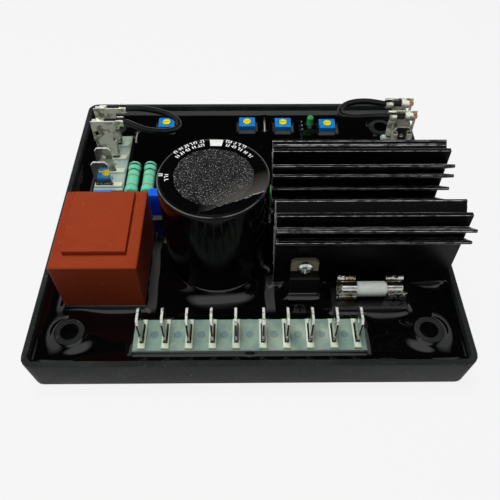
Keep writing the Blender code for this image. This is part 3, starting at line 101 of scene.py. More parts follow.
class Finish:
    """A Principled material whose parts read Object coordinates."""

    def __init__(self, name, colour, rough, metallic=0.0, **sockets):
        self.material = bpy.data.materials.new(name)
        self.material.use_nodes = True
        self.tree = self.material.node_tree
        self.shader = self.tree.nodes["Principled BSDF"]
        self.colour = (*colour, 1)
        self.rough = rough
        self.shader.inputs["Base Color"].default_value = self.colour
        self.shader.inputs["Roughness"].default_value = rough
        self.shader.inputs["Metallic"].default_value = metallic
        for name, value in sockets.items():
            self.shader.inputs[name.replace("_", " ")].default_value = value
        self.place = add(self.tree, 'ShaderNodeTexCoord').outputs["Object"]
        self.bump = None

    def noise(self, scale, detail=3.0, stretch=None):
        """Noise from 0 to 1, slower along an axis whose stretch is below 1."""
        place = self.place
        if stretch:
            mapping = add(self.tree, 'ShaderNodeMapping', {"Vector": place, "Scale": stretch})
            place = mapping.outputs[0]
        return add(self.tree, 'ShaderNodeTexNoise',
                   {"Vector": place, "Scale": scale, "Detail": detail}).outputs["Fac"]

    def ramp(self, value, low, high):
        """From 0 at low to 1 at high, and level beyond them. High may lie below low."""
        return add(self.tree, 'ShaderNodeMapRange',
                   {"Value": value, "From Min": low, "From Max": high}).outputs[0]

    def math(self, operation, first, second=0.0):
        """One sum of two values, each a socket or a number."""
        made = add(self.tree, 'ShaderNodeMath', operation=operation)
        for socket, value in zip(made.inputs, (first, second)):
            if isinstance(value, bpy.types.NodeSocket):
                self.tree.links.new(value, socket)
            else:
                socket.default_value = value
        return made.outputs[0]

    def axis(self, which):
        """One of the Object coordinates: 0 is X, 1 is Y and 2 is Z."""
        split = add(self.tree, 'ShaderNodeSeparateXYZ', {"Vector": self.place})
        return split.outputs[which]

    def blend(self, share, colour):
        """Mixes a colour over what is there, by a share."""
        mix = self.tree.nodes.new('ShaderNodeMix')
        mix.data_type = 'RGBA'
        self.tree.links.new(share, mix.inputs["Factor"])
        if isinstance(self.colour, bpy.types.NodeSocket):
            self.tree.links.new(self.colour, mix.inputs[6])
        else:
            mix.inputs[6].default_value = self.colour
        mix.inputs[7].default_value = (*colour, 1)
        self.colour = mix.outputs[2]
        self.tree.links.new(self.colour, self.shader.inputs["Base Color"])
        return self

    def roughen(self, share, to):
        """Moves the roughness towards another one, by a share."""
        mix = add(self.tree, 'ShaderNodeMapRange', {"Value": share, "To Max": to})
        if isinstance(self.rough, bpy.types.NodeSocket):
            self.tree.links.new(self.rough, mix.inputs["To Min"])
        else:
            mix.inputs["To Min"].default_value = self.rough
        self.rough = mix.outputs[0]
        self.tree.links.new(self.rough, self.shader.inputs["Roughness"])
        return self

    def raise_by(self, height, depth_mm, strength=1.0):
        """Adds a bump over those that are there."""
        inputs = {"Height": height, "Distance": depth_mm * MM, "Strength": strength}
        if self.bump:
            inputs["Normal"] = self.bump
        self.bump = add(self.tree, 'ShaderNodeBump', inputs).outputs[0]
        self.tree.links.new(self.bump, self.shader.inputs["Normal"])


def painted_sheen_crescent(finish):
    """A painted reflection: a grey sheen crescent over the front right of the capacitor's top, with
    a ragged painted highlight line along its edge.
    """
    aim_x, aim_y = 0.395, 0.919
    from_centre, half_ragged = 12.57, 0.8
    across = finish.math('SUBTRACT', finish.math('MULTIPLY', finish.axis(0), aim_x),
                         finish.math('MULTIPLY', finish.axis(1), aim_y))
    ragged = finish.math('MULTIPLY', finish.noise(260, 4), 2 * half_ragged * MM)
    across = finish.math('ADD', across, ragged)
    edge = (CAP_X * aim_x - CAP_Y * aim_y + from_centre + half_ragged) * MM
    top = finish.ramp(finish.axis(2), 48.55 * MM, 48.7 * MM)
    right = finish.math('MULTIPLY', finish.ramp(finish.axis(0), -15 * MM, -4 * MM), top)
    haze = finish.math('MULTIPLY', finish.ramp(across, edge - 8.5 * MM, edge - 0.4 * MM),
                       finish.ramp(across, edge, edge - 0.3 * MM))
    # Painted reflection: the crescent is tinted grey as a sheen
    finish.blend(finish.math('MULTIPLY', haze, right), (0.07, 0.068, 0.06))
    # Painted highlight: a thin pale line along the crescent's ragged edge
    away = finish.math('ABSOLUTE', finish.math('SUBTRACT', across, edge))
    painted_highlight_line = finish.math('MULTIPLY', finish.ramp(away, 0.26 * MM, 0.06 * MM), right)
    painted_highlight_line = finish.math('MULTIPLY', painted_highlight_line, finish.ramp(finish.noise(900, 3), 0.4, 0.6))
    finish.blend(painted_highlight_line, (0.32, 0.32, 0.3))


def painted_reflection_band(resin, x, half, front, back):
    """A painted reflection: a dull grey band on the resin beside the transformer or the capacitor,
    in mm.
    """
    half_wobble = 1.2
    wobble = resin.math('MULTIPLY', resin.noise(90, 2), 2 * half_wobble * MM)
    off = resin.math('SUBTRACT', resin.axis(0), (x - half_wobble) * MM)
    off = resin.math('ABSOLUTE', resin.math('SUBTRACT', off, wobble))
    across = resin.ramp(off, half * MM, (half - 0.35) * MM)
    along = resin.math('MULTIPLY', resin.ramp(resin.axis(1), front * MM, (front + 2) * MM),
                       resin.ramp(resin.axis(1), back * MM, (back - 6) * MM))
    # Painted reflection: the band is tinted grey
    resin.blend(resin.math('MULTIPLY', across, along), (0.05, 0.053, 0.049))


# Finishes by name. Heights and lengths without MM are in metres

def tray_finishes(made):
    """The moulded tray, its worn edges with a painted highlight, its bores with painted shade, the
    resin with painted reflections, and the board in it.
    """
    case = Finish("case", (0.012, 0.0133, 0.0132), 0.5, Specular_IOR_Level=0.2)
    cloud = case.noise(90, 4)
    case.blend(case.ramp(cloud, 0.42, 0.7), (0.022, 0.024, 0.0235))
    case.roughen(case.ramp(cloud, 0.35, 0.7), 0.62)
    dust = case.ramp(case.noise(1500, 2), 0.68, 0.74)
    case.blend(dust, (0.14, 0.145, 0.14)).raise_by(case.noise(1800, 2), 0.04, 0.5)
    made["case"] = case

    # Worn edges with a painted highlight: the bevels are lighter than the tray, with pale specks
    edge = Finish("case_edge", (0.075, 0.08, 0.078), 0.5)
    edge.blend(edge.ramp(edge.noise(700, 3), 0.55, 0.7), (0.16, 0.165, 0.16))
    made["case_edge"] = edge

    # Painted shade: the bores' walls are near black, standing for the shade inside the holes
    bore = Finish("bore", (0.001, 0.001, 0.001), 0.8, Specular_IOR_Level=0.05)
    bore.blend(bore.ramp(bore.noise(900, 3), 0.5, 0.7), (0.003, 0.003, 0.003))
    made["bore"] = bore

    resin = Finish("resin", (0.0012, 0.0012, 0.0014), 0.045, IOR=1.5)
    haze = resin.ramp(resin.noise(60, 4), 0.5, 0.75)
    resin.roughen(haze, 0.11).raise_by(resin.noise(130, 2), 0.06, 0.25)
    resin.blend(resin.ramp(resin.noise(2300, 1), 0.8, 0.84), (0.2, 0.2, 0.2))
    # Two painted reflection bands on the resin
    painted_reflection_band(resin, -32.6, 1.6, -43, -12)
    painted_reflection_band(resin, 6.6, 1.8, -43, -28)
    made["resin"] = resin

    board = Finish("board", (0.02, 0.12, 0.05), 0.45)
    wire = board.ramp(board.axis(2), 0.0061, 0.0062)
    board.blend(wire, (0.62, 0.6, 0.54)).roughen(wire, 0.25)
    board.tree.links.new(wire, board.shader.inputs["Metallic"])
    board.raise_by(board.noise(900, 2), 0.02, 0.4)
    made["board"] = board


def bulky_finishes(made):
    """The transformer, and the capacitor's can, sleeve and top disc."""
    brick = Finish("transformer", (0.3, 0.045, 0.015), 0.55, Specular_IOR_Level=0.1)
    brick.blend(brick.ramp(brick.noise(70, 4), 0.4, 0.75), (0.26, 0.038, 0.013))
    brick.blend(brick.ramp(brick.noise(900, 3), 0.66, 0.76), (0.4, 0.09, 0.045))
    brick.blend(brick.ramp(brick.noise(1900, 1), 0.79, 0.82), (0.6, 0.35, 0.28))
    brick.raise_by(brick.noise(1400, 3), 0.05, 0.55)
    made["transformer"] = brick

    can = Finish("can", (0.7, 0.7, 0.7), 0.35, 1.0)
    can.roughen(can.noise(600), 0.5)
    made["can"] = can

    sleeve = Finish("sleeve", (0.002, 0.002, 0.0022), 0.12, Specular_IOR_Level=0.11)
    sleeve.roughen(sleeve.ramp(sleeve.noise(120, 4), 0.45, 0.75), 0.24)
    sleeve.raise_by(sleeve.noise(150, 3, (1, 1, 0.3)), 0.12, 0.35)
    # Painted highlight: a thin grey line round the sleeve's shoulder, broken by noise
    off = sleeve.math('ABSOLUTE', sleeve.math('SUBTRACT', sleeve.axis(2), 48.5 * MM))
    painted_shine_line = sleeve.math('MULTIPLY', sleeve.ramp(off, 0.16 * MM, 0.07 * MM),
                         sleeve.ramp(sleeve.noise(110, 3), 0.35, 0.55))
    sleeve.blend(painted_shine_line, (0.16, 0.16, 0.155))
    # Painted reflection and highlight line over the sleeve's top
    painted_sheen_crescent(sleeve)
    made["sleeve"] = sleeve

    disc = Finish("disc", (0.005, 0.005, 0.005), 0.42, Specular_IOR_Level=0.15)
    disc.blend(disc.ramp(disc.noise(420, 5), 0.45, 0.66), (0.016, 0.016, 0.016))
    disc.blend(disc.ramp(disc.noise(2600, 2), 0.6, 0.68), (0.5, 0.5, 0.5))
    disc.raise_by(disc.noise(1700, 3), 0.1, 0.6)
    # Painted reflection and highlight line over the disc
    painted_sheen_crescent(disc)
    made["disc"] = disc


def sink_finishes(made):
    """The heat sinks' dull black, and the bright wear along their edges, which is partly a painted
    highlight.
    """
    sink = Finish("anodised", (0.002, 0.002, 0.0023), 0.36, Specular_IOR_Level=0.1)
    lines = sink.noise(800, 2, (0.02, 1, 1))
    sink.blend(sink.ramp(lines, 0.55, 0.8), (0.006, 0.006, 0.0065)).raise_by(lines, 0.05, 0.5)
    sink.blend(sink.ramp(sink.noise(1700, 2), 0.74, 0.78), (0.12, 0.12, 0.12))
    made["anodised"] = sink

    # Worn edges with a painted highlight: the bevels are grey, rubbed to near white
    wear_highlight = Finish("anodised_edge", (0.12, 0.12, 0.12), 0.33, 0.2)
    rub_highlight = wear_highlight.ramp(wear_highlight.noise(900, 4, (0.5, 1, 1)), 0.38, 0.56)
    wear_highlight.blend(rub_highlight, (0.9, 0.9, 0.9))
    made["anodised_edge"] = wear_highlight


def nylon_finishes(made):
    """The milky nylon of strips and blocks, with its marks, and with ribs and rib ends painted
    lighter as painted light.
    """
    def moulded(name, colour, cloudy, flecked):
        nylon = Finish(name, colour, 0.38, Subsurface_Weight=0.5,
                       Subsurface_Radius=(0.003, 0.003, 0.003))
        nylon.blend(nylon.ramp(nylon.noise(50, 2), 0.48, 0.62), flecked)
        nylon.blend(nylon.ramp(nylon.noise(160, 3), 0.42, 0.7), cloudy)
        nylon.blend(nylon.ramp(nylon.noise(520, 4), 0.6, 0.78), flecked)
        nylon.raise_by(nylon.noise(1100, 2), 0.03, 0.5)
        made[name] = nylon

    moulded("nylon", (0.24, 0.34, 0.285), (0.18, 0.27, 0.235), (0.34, 0.43, 0.35))
    moulded("nylon_pale", (0.42, 0.51, 0.45), (0.33, 0.43, 0.39), (0.52, 0.58, 0.5))
    moulded("nylon_mark", (0.15, 0.24, 0.225), (0.12, 0.2, 0.19), (0.22, 0.31, 0.28))
    # Painted light: the ribs are paler than the flat between them, and the rib ends facing the front
    # are paler and yellower
    moulded("nylon_rib", (0.66, 0.72, 0.58), (0.55, 0.65, 0.54), (0.78, 0.82, 0.7))
    moulded("nylon_end", (0.64, 0.64, 0.34), (0.56, 0.6, 0.38), (0.74, 0.72, 0.47))


def metal_finishes(made):
    """The metal of blades, receptacles, bare strands and fuse clips, with a bright tin that is also
    a painted highlight on edges and on the blades' tops.
    """
    tin = Finish("tinned", (0.95, 0.95, 0.82), 0.28, 0.1)
    tin.blend(tin.ramp(tin.noise(420, 4), 0.48, 0.62), (0.26, 0.27, 0.17))
    tin.roughen(tin.ramp(tin.noise(900, 3, (1, 1, 0.15)), 0.45, 0.75), 0.42)
    tin.raise_by(tin.noise(1300, 3, (1, 1, 0.2)), 0.02, 0.4)
    made["tinned"] = tin

    blade = Finish("blade", (0.62, 0.62, 0.56), 0.14, 0.95)
    blade.blend(blade.ramp(blade.noise(420, 4), 0.5, 0.72), (0.42, 0.41, 0.33))
    low_down = blade.ramp(blade.axis(2), CLEAN_FROM, GRIMY_BELOW)
    grime = blade.math('MULTIPLY', low_down, blade.ramp(blade.noise(2200, 3), 0.47, 0.52))
    blade.blend(grime, (0.01, 0.01, 0.01)).roughen(grime, 0.6)
    blade.raise_by(blade.noise(1300, 3, (1, 1, 0.2)), 0.02, 0.3)
    made["blade"] = blade

    # Painted highlight: bright tin on the bevels of blades and receptacles and on the blades' tops;
    # it is also the own colour of the left receptacles' tinned strands
    bright = Finish("tinned_edge", (0.95, 0.95, 0.9), 0.2, 0.3)
    bright.blend(bright.ramp(bright.noise(1100, 3), 0.54, 0.62), (0.4, 0.4, 0.32))
    low_down = bright.ramp(bright.axis(2), CLEAN_FROM, GRIMY_BELOW)
    bright.blend(bright.math('MULTIPLY', low_down, bright.ramp(bright.noise(2000, 3), 0.49, 0.54)),
                 (0.01, 0.01, 0.01))
    made["tinned_edge"] = bright

    copper = Finish("copper", (0.6, 0.2, 0.07), 0.35, 0.5)
    copper.blend(copper.ramp(copper.noise(900, 3), 0.5, 0.65), (0.25, 0.07, 0.03))
    made["copper"] = copper

    clip = Finish("clip", (0.85, 0.84, 0.78), 0.12, 0.9)
    clip.blend(clip.ramp(clip.noise(260, 3), 0.5, 0.62), (0.5, 0.36, 0.19))
    clip.blend(clip.ramp(clip.noise(900, 3), 0.52, 0.58), (0.04, 0.04, 0.035))
    clip.raise_by(clip.noise(700, 3), 0.09, 0.8)
    made["clip"] = clip


def small_finishes(made):
    """The transistors, screws, wires and small coloured parts, and the print."""
    device = Finish("device", (0.004, 0.004, 0.004), 0.38, Specular_IOR_Level=0.25)
    tab = device.ramp(device.axis(2), 0.01985, 0.01995)
    device.blend(tab, (0.46, 0.43, 0.29)).raise_by(device.noise(1300, 3), 0.05, 0.6)
    made["device"] = device

    steel = Finish("steel", (0.7, 0.7, 0.68), 0.14, 1.0)
    steel.blend(steel.ramp(steel.noise(420, 3), 0.5, 0.7), (0.45, 0.44, 0.4))
    steel.raise_by(steel.noise(600, 3), 0.05, 0.6)
    made["steel"] = steel

    wire = Finish("wire", (0.004, 0.004, 0.0045), 0.3, Specular_IOR_Level=0.35)
    wire.blend(wire.ramp(wire.noise(500, 3), 0.5, 0.75), (0.01, 0.01, 0.011))
    wire.raise_by(wire.noise(900, 2), 0.03, 0.5)
    made["wire"] = wire

    blue = Finish("blue", (0.004, 0.22, 0.68), 0.3)
    blue.blend(blue.ramp(blue.noise(300, 2), 0.5, 0.8), (0.012, 0.32, 0.78))
    blue.raise_by(blue.noise(1300, 2), 0.03, 0.5)
    made["blue"] = blue

    deep = Finish("deep_blue", (0.002, 0.03, 0.6), 0.16)
    # Painted light: the upper part is a lighter blue, standing for light on the top
    top = deep.ramp(deep.axis(2), 0.019, 0.022)
    deep.blend(top, (0.008, 0.13, 0.8)).raise_by(deep.noise(240, 2), 0.1, 0.5)
    made["deep_blue"] = deep

    yellow = Finish("yellow", (0.85, 0.76, 0.03), 0.4)
    yellow.blend(yellow.ramp(yellow.noise(700, 2), 0.5, 0.8), (0.74, 0.74, 0.1))
    made["yellow"] = yellow

    ceramic = Finish("ceramic", (0.76, 0.79, 0.75), 0.35)
    ceramic.blend(ceramic.ramp(ceramic.noise(420, 4), 0.45, 0.75), (0.66, 0.7, 0.65))
    ceramic.raise_by(ceramic.noise(1600, 2), 0.03, 0.5)
    made["ceramic"] = ceramic

    mint = Finish("mint", (0.16, 0.66, 0.42), 0.28)
    mint.blend(mint.ramp(mint.noise(260, 3), 0.4, 0.75), (0.26, 0.66, 0.5))
    along = mint.axis(1)
    for place, colour in ((23.6, (0.012, 0.05, 0.02)), (20.8, (0.03, 0.12, 0.06)),
                          (17.7, (0.16, 0.4, 0.24)), (12.4, (0.2, 0.36, 0.17))):
        away = mint.math('ABSOLUTE', mint.math('SUBTRACT', along, place * MM))
        mint.blend(mint.ramp(away, 0.00055, 0.00035), colour)
    mint.raise_by(mint.noise(700, 2), 0.05, 0.5)
    made["mint"] = mint

    led = Finish("led", (0.02, 0.35, 0.06), 0.12, IOR=1.5)
    led.blend(led.ramp(led.noise(400, 2), 0.5, 0.8), (0.1, 0.6, 0.2))
    made["led"] = led

    green = Finish("green", (0.05, 0.26, 0.07), 0.25)
    green.blend(green.ramp(green.noise(300, 3), 0.5, 0.8), (0.12, 0.4, 0.12))
    green.raise_by(green.noise(500, 2), 0.06, 0.5)
    made["green"] = green

    bakelite = Finish("bakelite", (0.01, 0.01, 0.01), 0.25)
    bakelite.blend(bakelite.ramp(bakelite.noise(600, 3), 0.55, 0.8), (0.025, 0.025, 0.024))
    bakelite.raise_by(bakelite.noise(900, 2), 0.04, 0.5)
    made["bakelite"] = bakelite

    ink = Finish("ink", (0.85, 0.86, 0.84), 0.4)
    ink.blend(ink.ramp(ink.noise(2200, 3), 0.55, 0.75), (0.45, 0.45, 0.44))
    made["ink"] = ink


def made_finishes():
    """Every finish of the object by name."""
    made = {}
    for add_group in (tray_finishes, bulky_finishes, sink_finishes, nylon_finishes,
                      metal_finishes, small_finishes):
        add_group(made)
    return made


# Pieces

def new_piece(name, bm, finishes, body="root", smooth=35):
    """An object from a bmesh, which rides a body. Edges over smooth degrees stay sharp."""
    mesh = bpy.data.meshes.new(name)
    bm.to_mesh(mesh)
    bm.free()
    mesh.shade_smooth()
    mesh.set_sharp_from_angle(angle=math.radians(smooth))
    for finish in finishes:
        mesh.materials.append(FINISHES[finish].material)
    piece = bpy.data.objects.new(name, mesh)
    bpy.context.scene.collection.objects.link(piece)
    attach(piece, body)
    return piece


def clean_copy(node):
    """A node's surface with its flat parts made whole again."""
    bm = bmesh.new()
    bm.from_mesh(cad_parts[node].data)
    bmesh.ops.remove_doubles(bm, verts=bm.verts, dist=0.002 * MM)
    bmesh.ops.dissolve_limit(bm, angle_limit=math.radians(1.0), verts=bm.verts, edges=bm.edges)
    return bm


def refined(node, finish, edge=0.12, edge_finish=None, body="root", segments=2, picks=()):
    """A node with softly rounded edges, which may have a finish of their own.

    Each pick is a test of a face and the finish of the faces that pass it.
    """
    bm = clean_copy(node)
    for face in bm.faces:
        for index, (passes, _) in enumerate(picks, start=2):
            if passes(face):
                face.material_index = index
    finishes = [finish, edge_finish or finish] + [picked for _, picked in picks]
    piece = new_piece(node + "_look", bm, finishes, body)
    bevel = piece.modifiers.new("edges", 'BEVEL')
    bevel.width = edge * MM
    bevel.segments = segments
    bevel.limit_method = 'ANGLE'
    bevel.angle_limit = math.radians(40)
    bevel.harden_normals = True
    if edge_finish:
        bevel.material = 1
    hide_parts(node)


# Jumper wires, on the route of the solid

# Each loop in two halves: steps in mm out from the rear receptacle, then back to the front one
SIDE_PITCH = 7.9
LEFT_LOOP = (
    [(4.0, 0.0, 0.0), (8.0, 0.0, 0.0), (11.6, 0.3, -0.2), (16.2, 1.2, -1.5), (21.4, 1.6, -3.4),
     (25.8, 0.3, -5.0), (27.6, -2.8, -6.0)],
    [(25.8, 2.0, -5.8), (21.2, -0.2, -4.8), (15.4, -1.1, -3.1), (11.4, -0.7, -1.6),
     (8.0, -0.1, -0.3), (4.0, 0.0, 0.0)])
RIGHT_LOOP = (
    [(-3.3, 0.0, 0.0), (-6.6, 0.0, 0.0), (-9.8, 0.3, 0.4), (-13.5, 0.9, 0.5), (-18.0, 1.4, -0.1),
     (-21.6, 1.3, -1.4), (-23.9, -0.6, -2.6)],
    [(-23.4, 4.7, -3.0), (-19.8, 2.5, -2.2), (-15.0, 1.3, -1.1), (-10.6, 0.4, -0.2),
     (-6.6, 0.0, 0.0), (-3.3, 0.0, 0.0)])


def smooth_route(points, steps):
    """A smooth curve through the points, with some steps from each to the next."""
    route = [points[0]]
    for index in range(len(points) - 1):
        p0, p1, p2 = points[max(index - 1, 0)], points[index], points[index + 1]
        p3 = points[min(index + 2, len(points) - 1)]
        for step in range(1, steps + 1):
            t = step / steps
            route.append(0.5 * (2 * p1 + (p2 - p0) * t + (2 * p0 - 5 * p1 + 4 * p2 - p3) * t * t
                                + (3 * p1 - p0 - 3 * p2 + p3) * t ** 3))
    return route


def make_jumper(node, rear, loop):
    """A round wire from its rear receptacle, whose place is in mm, to the front one."""
    rear = Vector(rear)
    front = rear - Vector((0, SIDE_PITCH, 0))
    out, back = loop
    points = [rear] + [rear + Vector(step) for step in out]
    points += [front + Vector(step) for step in back] + [front]
    route = [point * MM for point in smooth_route(points, 5)]
    curve = bpy.data.curves.new(node + "_look", 'CURVE')
    curve.dimensions = '3D'
    curve.bevel_depth = WIRE_RADIUS * MM
    curve.bevel_resolution = 4
    curve.use_fill_caps = True
    spline = curve.splines.new('POLY')
    spline.points.add(len(route) - 1)
    for spot, point in zip(spline.points, route):
        spot.co = (*point, 1)
    spline.use_smooth = True
    curve.materials.append(FINISHES["wire"].material)
    piece = bpy.data.objects.new(node + "_look", curve)
    bpy.context.scene.collection.objects.link(piece)
    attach(piece, "root")
    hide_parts(node)


# Resin with its raised edges

# Places in mm of the tray's inner walls, the heat sinks' webs and the LED
WALL_X, WALL_Y = 67.85, 61.85
WEBS_Y, WEB_LEFT, WEB_RIGHT, HALF_WEB = (-30.2, -1.6), 8.1, 66.8, 1.1
LED_SPOT = (27.1, 53.4)

# Thin wires: the feet of the two links, the leads of the two resistors and the three pins
WIRE_SPOTS = ((-47.4, 41.5), (-47.4, 48.3), (7.3, 49.0), (7.3, 58.4), (-45.2, 7.4), (-45.2, 27.4),
              (-39.0, 7.4), (-39.0, 27.4), (23.2, 46.9), (23.2, 49.4), (23.2, 52.0))


def round_away(x, y, centre, radius):
    """Distance outside a circle, below zero inside it."""
    return np.hypot(x - centre[0], y - centre[1]) - radius


def box_away(x, y, low, high, corner=0.0):
    """Distance outside a rectangle, below zero inside it."""
    middle = ((low[0] + high[0]) / 2, (low[1] + high[1]) / 2)
    dx = np.abs(x - middle[0]) - (high[0] - low[0]) / 2 + corner
    dy = np.abs(y - middle[1]) - (high[1] - low[1]) / 2 + corner
    outside = np.hypot(np.maximum(dx, 0), np.maximum(dy, 0))
    return outside + np.minimum(np.maximum(dx, dy), 0) - corner


def node_box(name):
    """The two opposite corners of a node's box, in millimetres."""
    low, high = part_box(name)
    return [v / MM for v in low], [v / MM for v in high]


def obstacles(x, y):
    """(distance, climb, reach) for all that stands in the resin, in millimetres."""
    found = []
    for cx in (-BOSS_X, BOSS_X):
        for cy in (-BOSS_Y, BOSS_Y):
            rise, reach = (1.7, 2.4) if cy < 0 else (1.0, 1.2)
            found.append((round_away(x, y, (cx, cy), BOSS_RADIUS), rise, reach))
    found.append((round_away(x, y, (CAP_X, CAP_Y), CAP_RADIUS), 3.0, 2.8))
    for name in ("transformer", "left_terminal_block", "right_terminal_block",
                 "fuse_holder_base", "blue_capacitor", "green_capacitor", "trimmer_1_body",
                 "trimmer_2_body", "trimmer_3_body", "trimmer_4_body", "trimmer_5_body",
                 "front_power_transistor", "rear_power_transistor"):
        low, high = node_box(name)
        wide = name in ("transformer", "front_power_transistor", "fuse_holder_base")
        found.append((box_away(x, y, low, high, 0.3), 1.6 if wide else 1.2,
                      1.8 if wide else 1.1))
    for side in ("left", "right"):
        low, high = node_box("front_terminal_strip_" + side)
        found.append((box_away(x, y, low, high), 1.2, 1.3))
    for web_y in WEBS_Y:
        web = box_away(x, y, (WEB_LEFT, web_y - HALF_WEB), (WEB_RIGHT, web_y + HALF_WEB))
        found.append((web, 1.5, 1.4))
    found.append((round_away(x, y, LED_SPOT, 1.5), 0.7, 0.7))
    for spot in WIRE_SPOTS:
        found.append((round_away(x, y, spot, 0.4), 0.5, 0.6))
    wall = -box_away(x, y, (-WALL_X, -WALL_Y), (WALL_X, WALL_Y), 1.6)
    found.append((wall, 1.8, 1.9))
    return found


def make_resin():
    """A fine sheet that climbs a little at every wall, boss and part."""
    step, half_x, half_y = 0.5, 68.2, 62.2
    # The power by which climbs that meet add up, and the most that they reach together
    sharing, limit = 1.6, 3.4
    bm = bmesh.new()
    bmesh.ops.create_grid(bm, x_segments=int(2 * half_x / step), y_segments=int(2 * half_y / step),
                          size=1)
    bmesh.ops.scale(bm, verts=bm.verts, vec=(half_x, half_y, 1))
    places = np.array([vert.co[:2] for vert in bm.verts])
    x, y = places[:, 0], places[:, 1]
    climbed = np.zeros(len(x))
    nearest = np.full(len(x), 99.0)
    for away, climb, reach in obstacles(x, y):
        rise = climb * np.exp(-np.maximum(away, 0) / reach)
        climbed += rise ** sharing
        nearest = np.minimum(nearest, away)
    swell = (np.sin(x / 9.3 + 1.1) * np.cos(y / 11.7) + np.sin(x / 5.1 - y / 6.7)) * 0.03
    level = limit * np.tanh(climbed ** (1 / sharing) / limit) + swell
    for index, vert in enumerate(bm.verts):
        vert.co = (x[index] * MM, y[index] * MM, RESIN + level[index] * MM)
    buried = [face for face in bm.faces if max(nearest[v.index] for v in face.verts) < -0.9]
    bmesh.ops.delete(bm, geom=buried, context='FACES')
    border = [edge for edge in bm.edges if edge.is_boundary]
    skirt = bmesh.ops.extrude_edge_only(bm, edges=border)
    lower = [item for item in skirt["geom"] if isinstance(item, bmesh.types.BMVert)]
    bmesh.ops.translate(bm, verts=lower, vec=(0, 0, -3.5 * MM))
    piece = new_piece("potting_resin_look", bm, ["resin"], smooth=80)
    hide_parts("potting_resin")


# Capacitor

def spun(profile, sides):
    """A profile of (radius, height) in millimetres turned round the Z axis."""
    bm = bmesh.new()
    verts = [bm.verts.new((radius * MM, 0, height * MM)) for radius, height in profile]
    edges = [bm.edges.new(pair) for pair in zip(verts, verts[1:])]
    bmesh.ops.spin(bm, geom=verts + edges, cent=(0, 0, 0), axis=(0, 0, 1),
                   angle=2 * math.pi, steps=sides, use_merge=True)
    bmesh.ops.remove_doubles(bm, verts=bm.verts, dist=0.002 * MM)
    bmesh.ops.recalc_face_normals(bm, faces=bm.faces)
    return bm


def make_sleeve():
    """The shrunk sleeve: a soft shoulder, a slightly uneven wall and a ragged inner edge."""
    outer, top, foot, lip, corner = CAP_RADIUS, CAP_TOP, 6.3, 12.3, 1.4
    straight = top - 8.3
    profile = [(17.1, foot), (outer, foot)]
    profile += [(outer, foot + straight * i / 12) for i in range(1, 13)]
    for i in range(7):
        angle = math.radians(90 * i / 6)
        profile.append((outer - corner * (1 - math.cos(angle)),
                        top - corner * (1 - math.sin(angle))))
    profile += [(15.0, top - 0.02), (13.8, top - 0.05), (12.9, top - 0.1), (lip, top - 0.15),
                (lip, top - 0.4)]
    bm = spun(profile, 144)
    for vert in bm.verts:
        angle = math.atan2(vert.co.y, vert.co.x)
        radius = vert.co.xy.length / MM
        height = vert.co.z / MM
        if radius < 12.5:
            shift = 0.14 * math.sin(3 * angle + 1) + 0.1 * math.sin(13 * angle)
        else:
            wave = math.sin(4 * angle + height / 7) + 0.5 * math.sin(9 * angle - height / 4)
            shift = -0.06 + 0.04 * wave if height > 10 else -0.06
        vert.co.x *= 1 + shift / radius
        vert.co.y *= 1 + shift / radius
    bmesh.ops.translate(bm, verts=bm.verts, vec=CAP_CENTRE)
    piece = new_piece("capacitor_sleeve_look", bm, ["sleeve"], smooth=60)
    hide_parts("capacitor_sleeve")


def make_disc():
    """The disc under the fold, slightly domed and grainy."""
    bm = spun([(0.0, 48.85), (6.0, 48.83), (11.0, 48.75), (12.6, 48.7)], 96)
    bmesh.ops.translate(bm, verts=bm.verts, vec=CAP_CENTRE)
    piece = new_piece("capacitor_top_disc_look", bm, ["disc"], smooth=60)
    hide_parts("capacitor_top_disc")


def ring_patch(bm, radius, angle, width, height):
    """A small four-sided mark on the capacitor's top: width along the ring, height across it."""
    corners = []
    for da, dr in ((-0.5, -0.5), (0.5, -0.5), (0.5, 0.5), (-0.5, 0.5)):
        r = radius + dr * height
        a = angle + da * width / radius
        corners.append(bm.verts.new((CAP_CENTRE.x + r * math.cos(a) * MM,
                                     CAP_CENTRE.y + r * math.sin(a) * MM, PRINT_LEVEL * MM)))
    bm.faces.new(corners)


def make_print():
    """Plain printed dashes in rings round the top, and one bare pale field."""
    random.seed(7)
    bar_shift, dash_step = 0.32, 0.78
    bm = bmesh.new()
    for start, end, radius in ((52, 72, 16.0), (35, 78, 14.2), (103, 140, 16.0),
                               (104, 146, 14.2), (178, 186, 16.0), (179, 190, 14.2)):
        angle = math.radians(start)
        while angle < math.radians(end):
            for _ in range(random.choice((1, 2, 2, 3))):
                tall = random.choice((1.1, 1.3))
                ring_patch(bm, radius, angle, random.uniform(0.26, 0.4), tall)
                if random.random() < 0.6:
                    ring_patch(bm, radius + random.choice((-0.5, 0.0, 0.5)),
                               angle + bar_shift / radius, 0.6, 0.3)
                angle += dash_step / radius
            angle += random.uniform(0.5, 1.0) / radius
    ring_patch(bm, 14.9, math.radians(88), 4.0, 3.0)
    new_piece("capacitor_print", bm, ["ink"])


# Faces with a finish of their own

# Heights in mm on the strips and blocks: between the first two a mark's floor, then the ribs
MARK_LOW, MARK_HIGH, RIB_LOW = 11.8, 12.1, 12.5


def is_mark(face):
    """The floor of a round mark between two ribs."""
    height = face.calc_center_median().z
    return face.normal.z > 0.9 and MARK_LOW * MM < height < MARK_HIGH * MM


def is_bore(face):
    """The wall of a mounting hole."""
    reach = 3.5
    centre = face.calc_center_median() / MM
    return (abs(face.normal.z) < 0.5
            and math.hypot(abs(centre.x) - BOSS_X, abs(centre.y) - BOSS_Y) < reach)


def is_rib(face):
    """A face of a strip or block that lies above its flat top."""
    return face.calc_center_median().z > RIB_LOW * MM


def is_rib_end(face):
    """The front end of a rib on a front strip."""
    across = [vert.co.x for vert in face.verts]
    return (face.normal.y < -0.5 and face.calc_center_median().z > RESIN
            and max(across) - min(across) < 4 * MM)


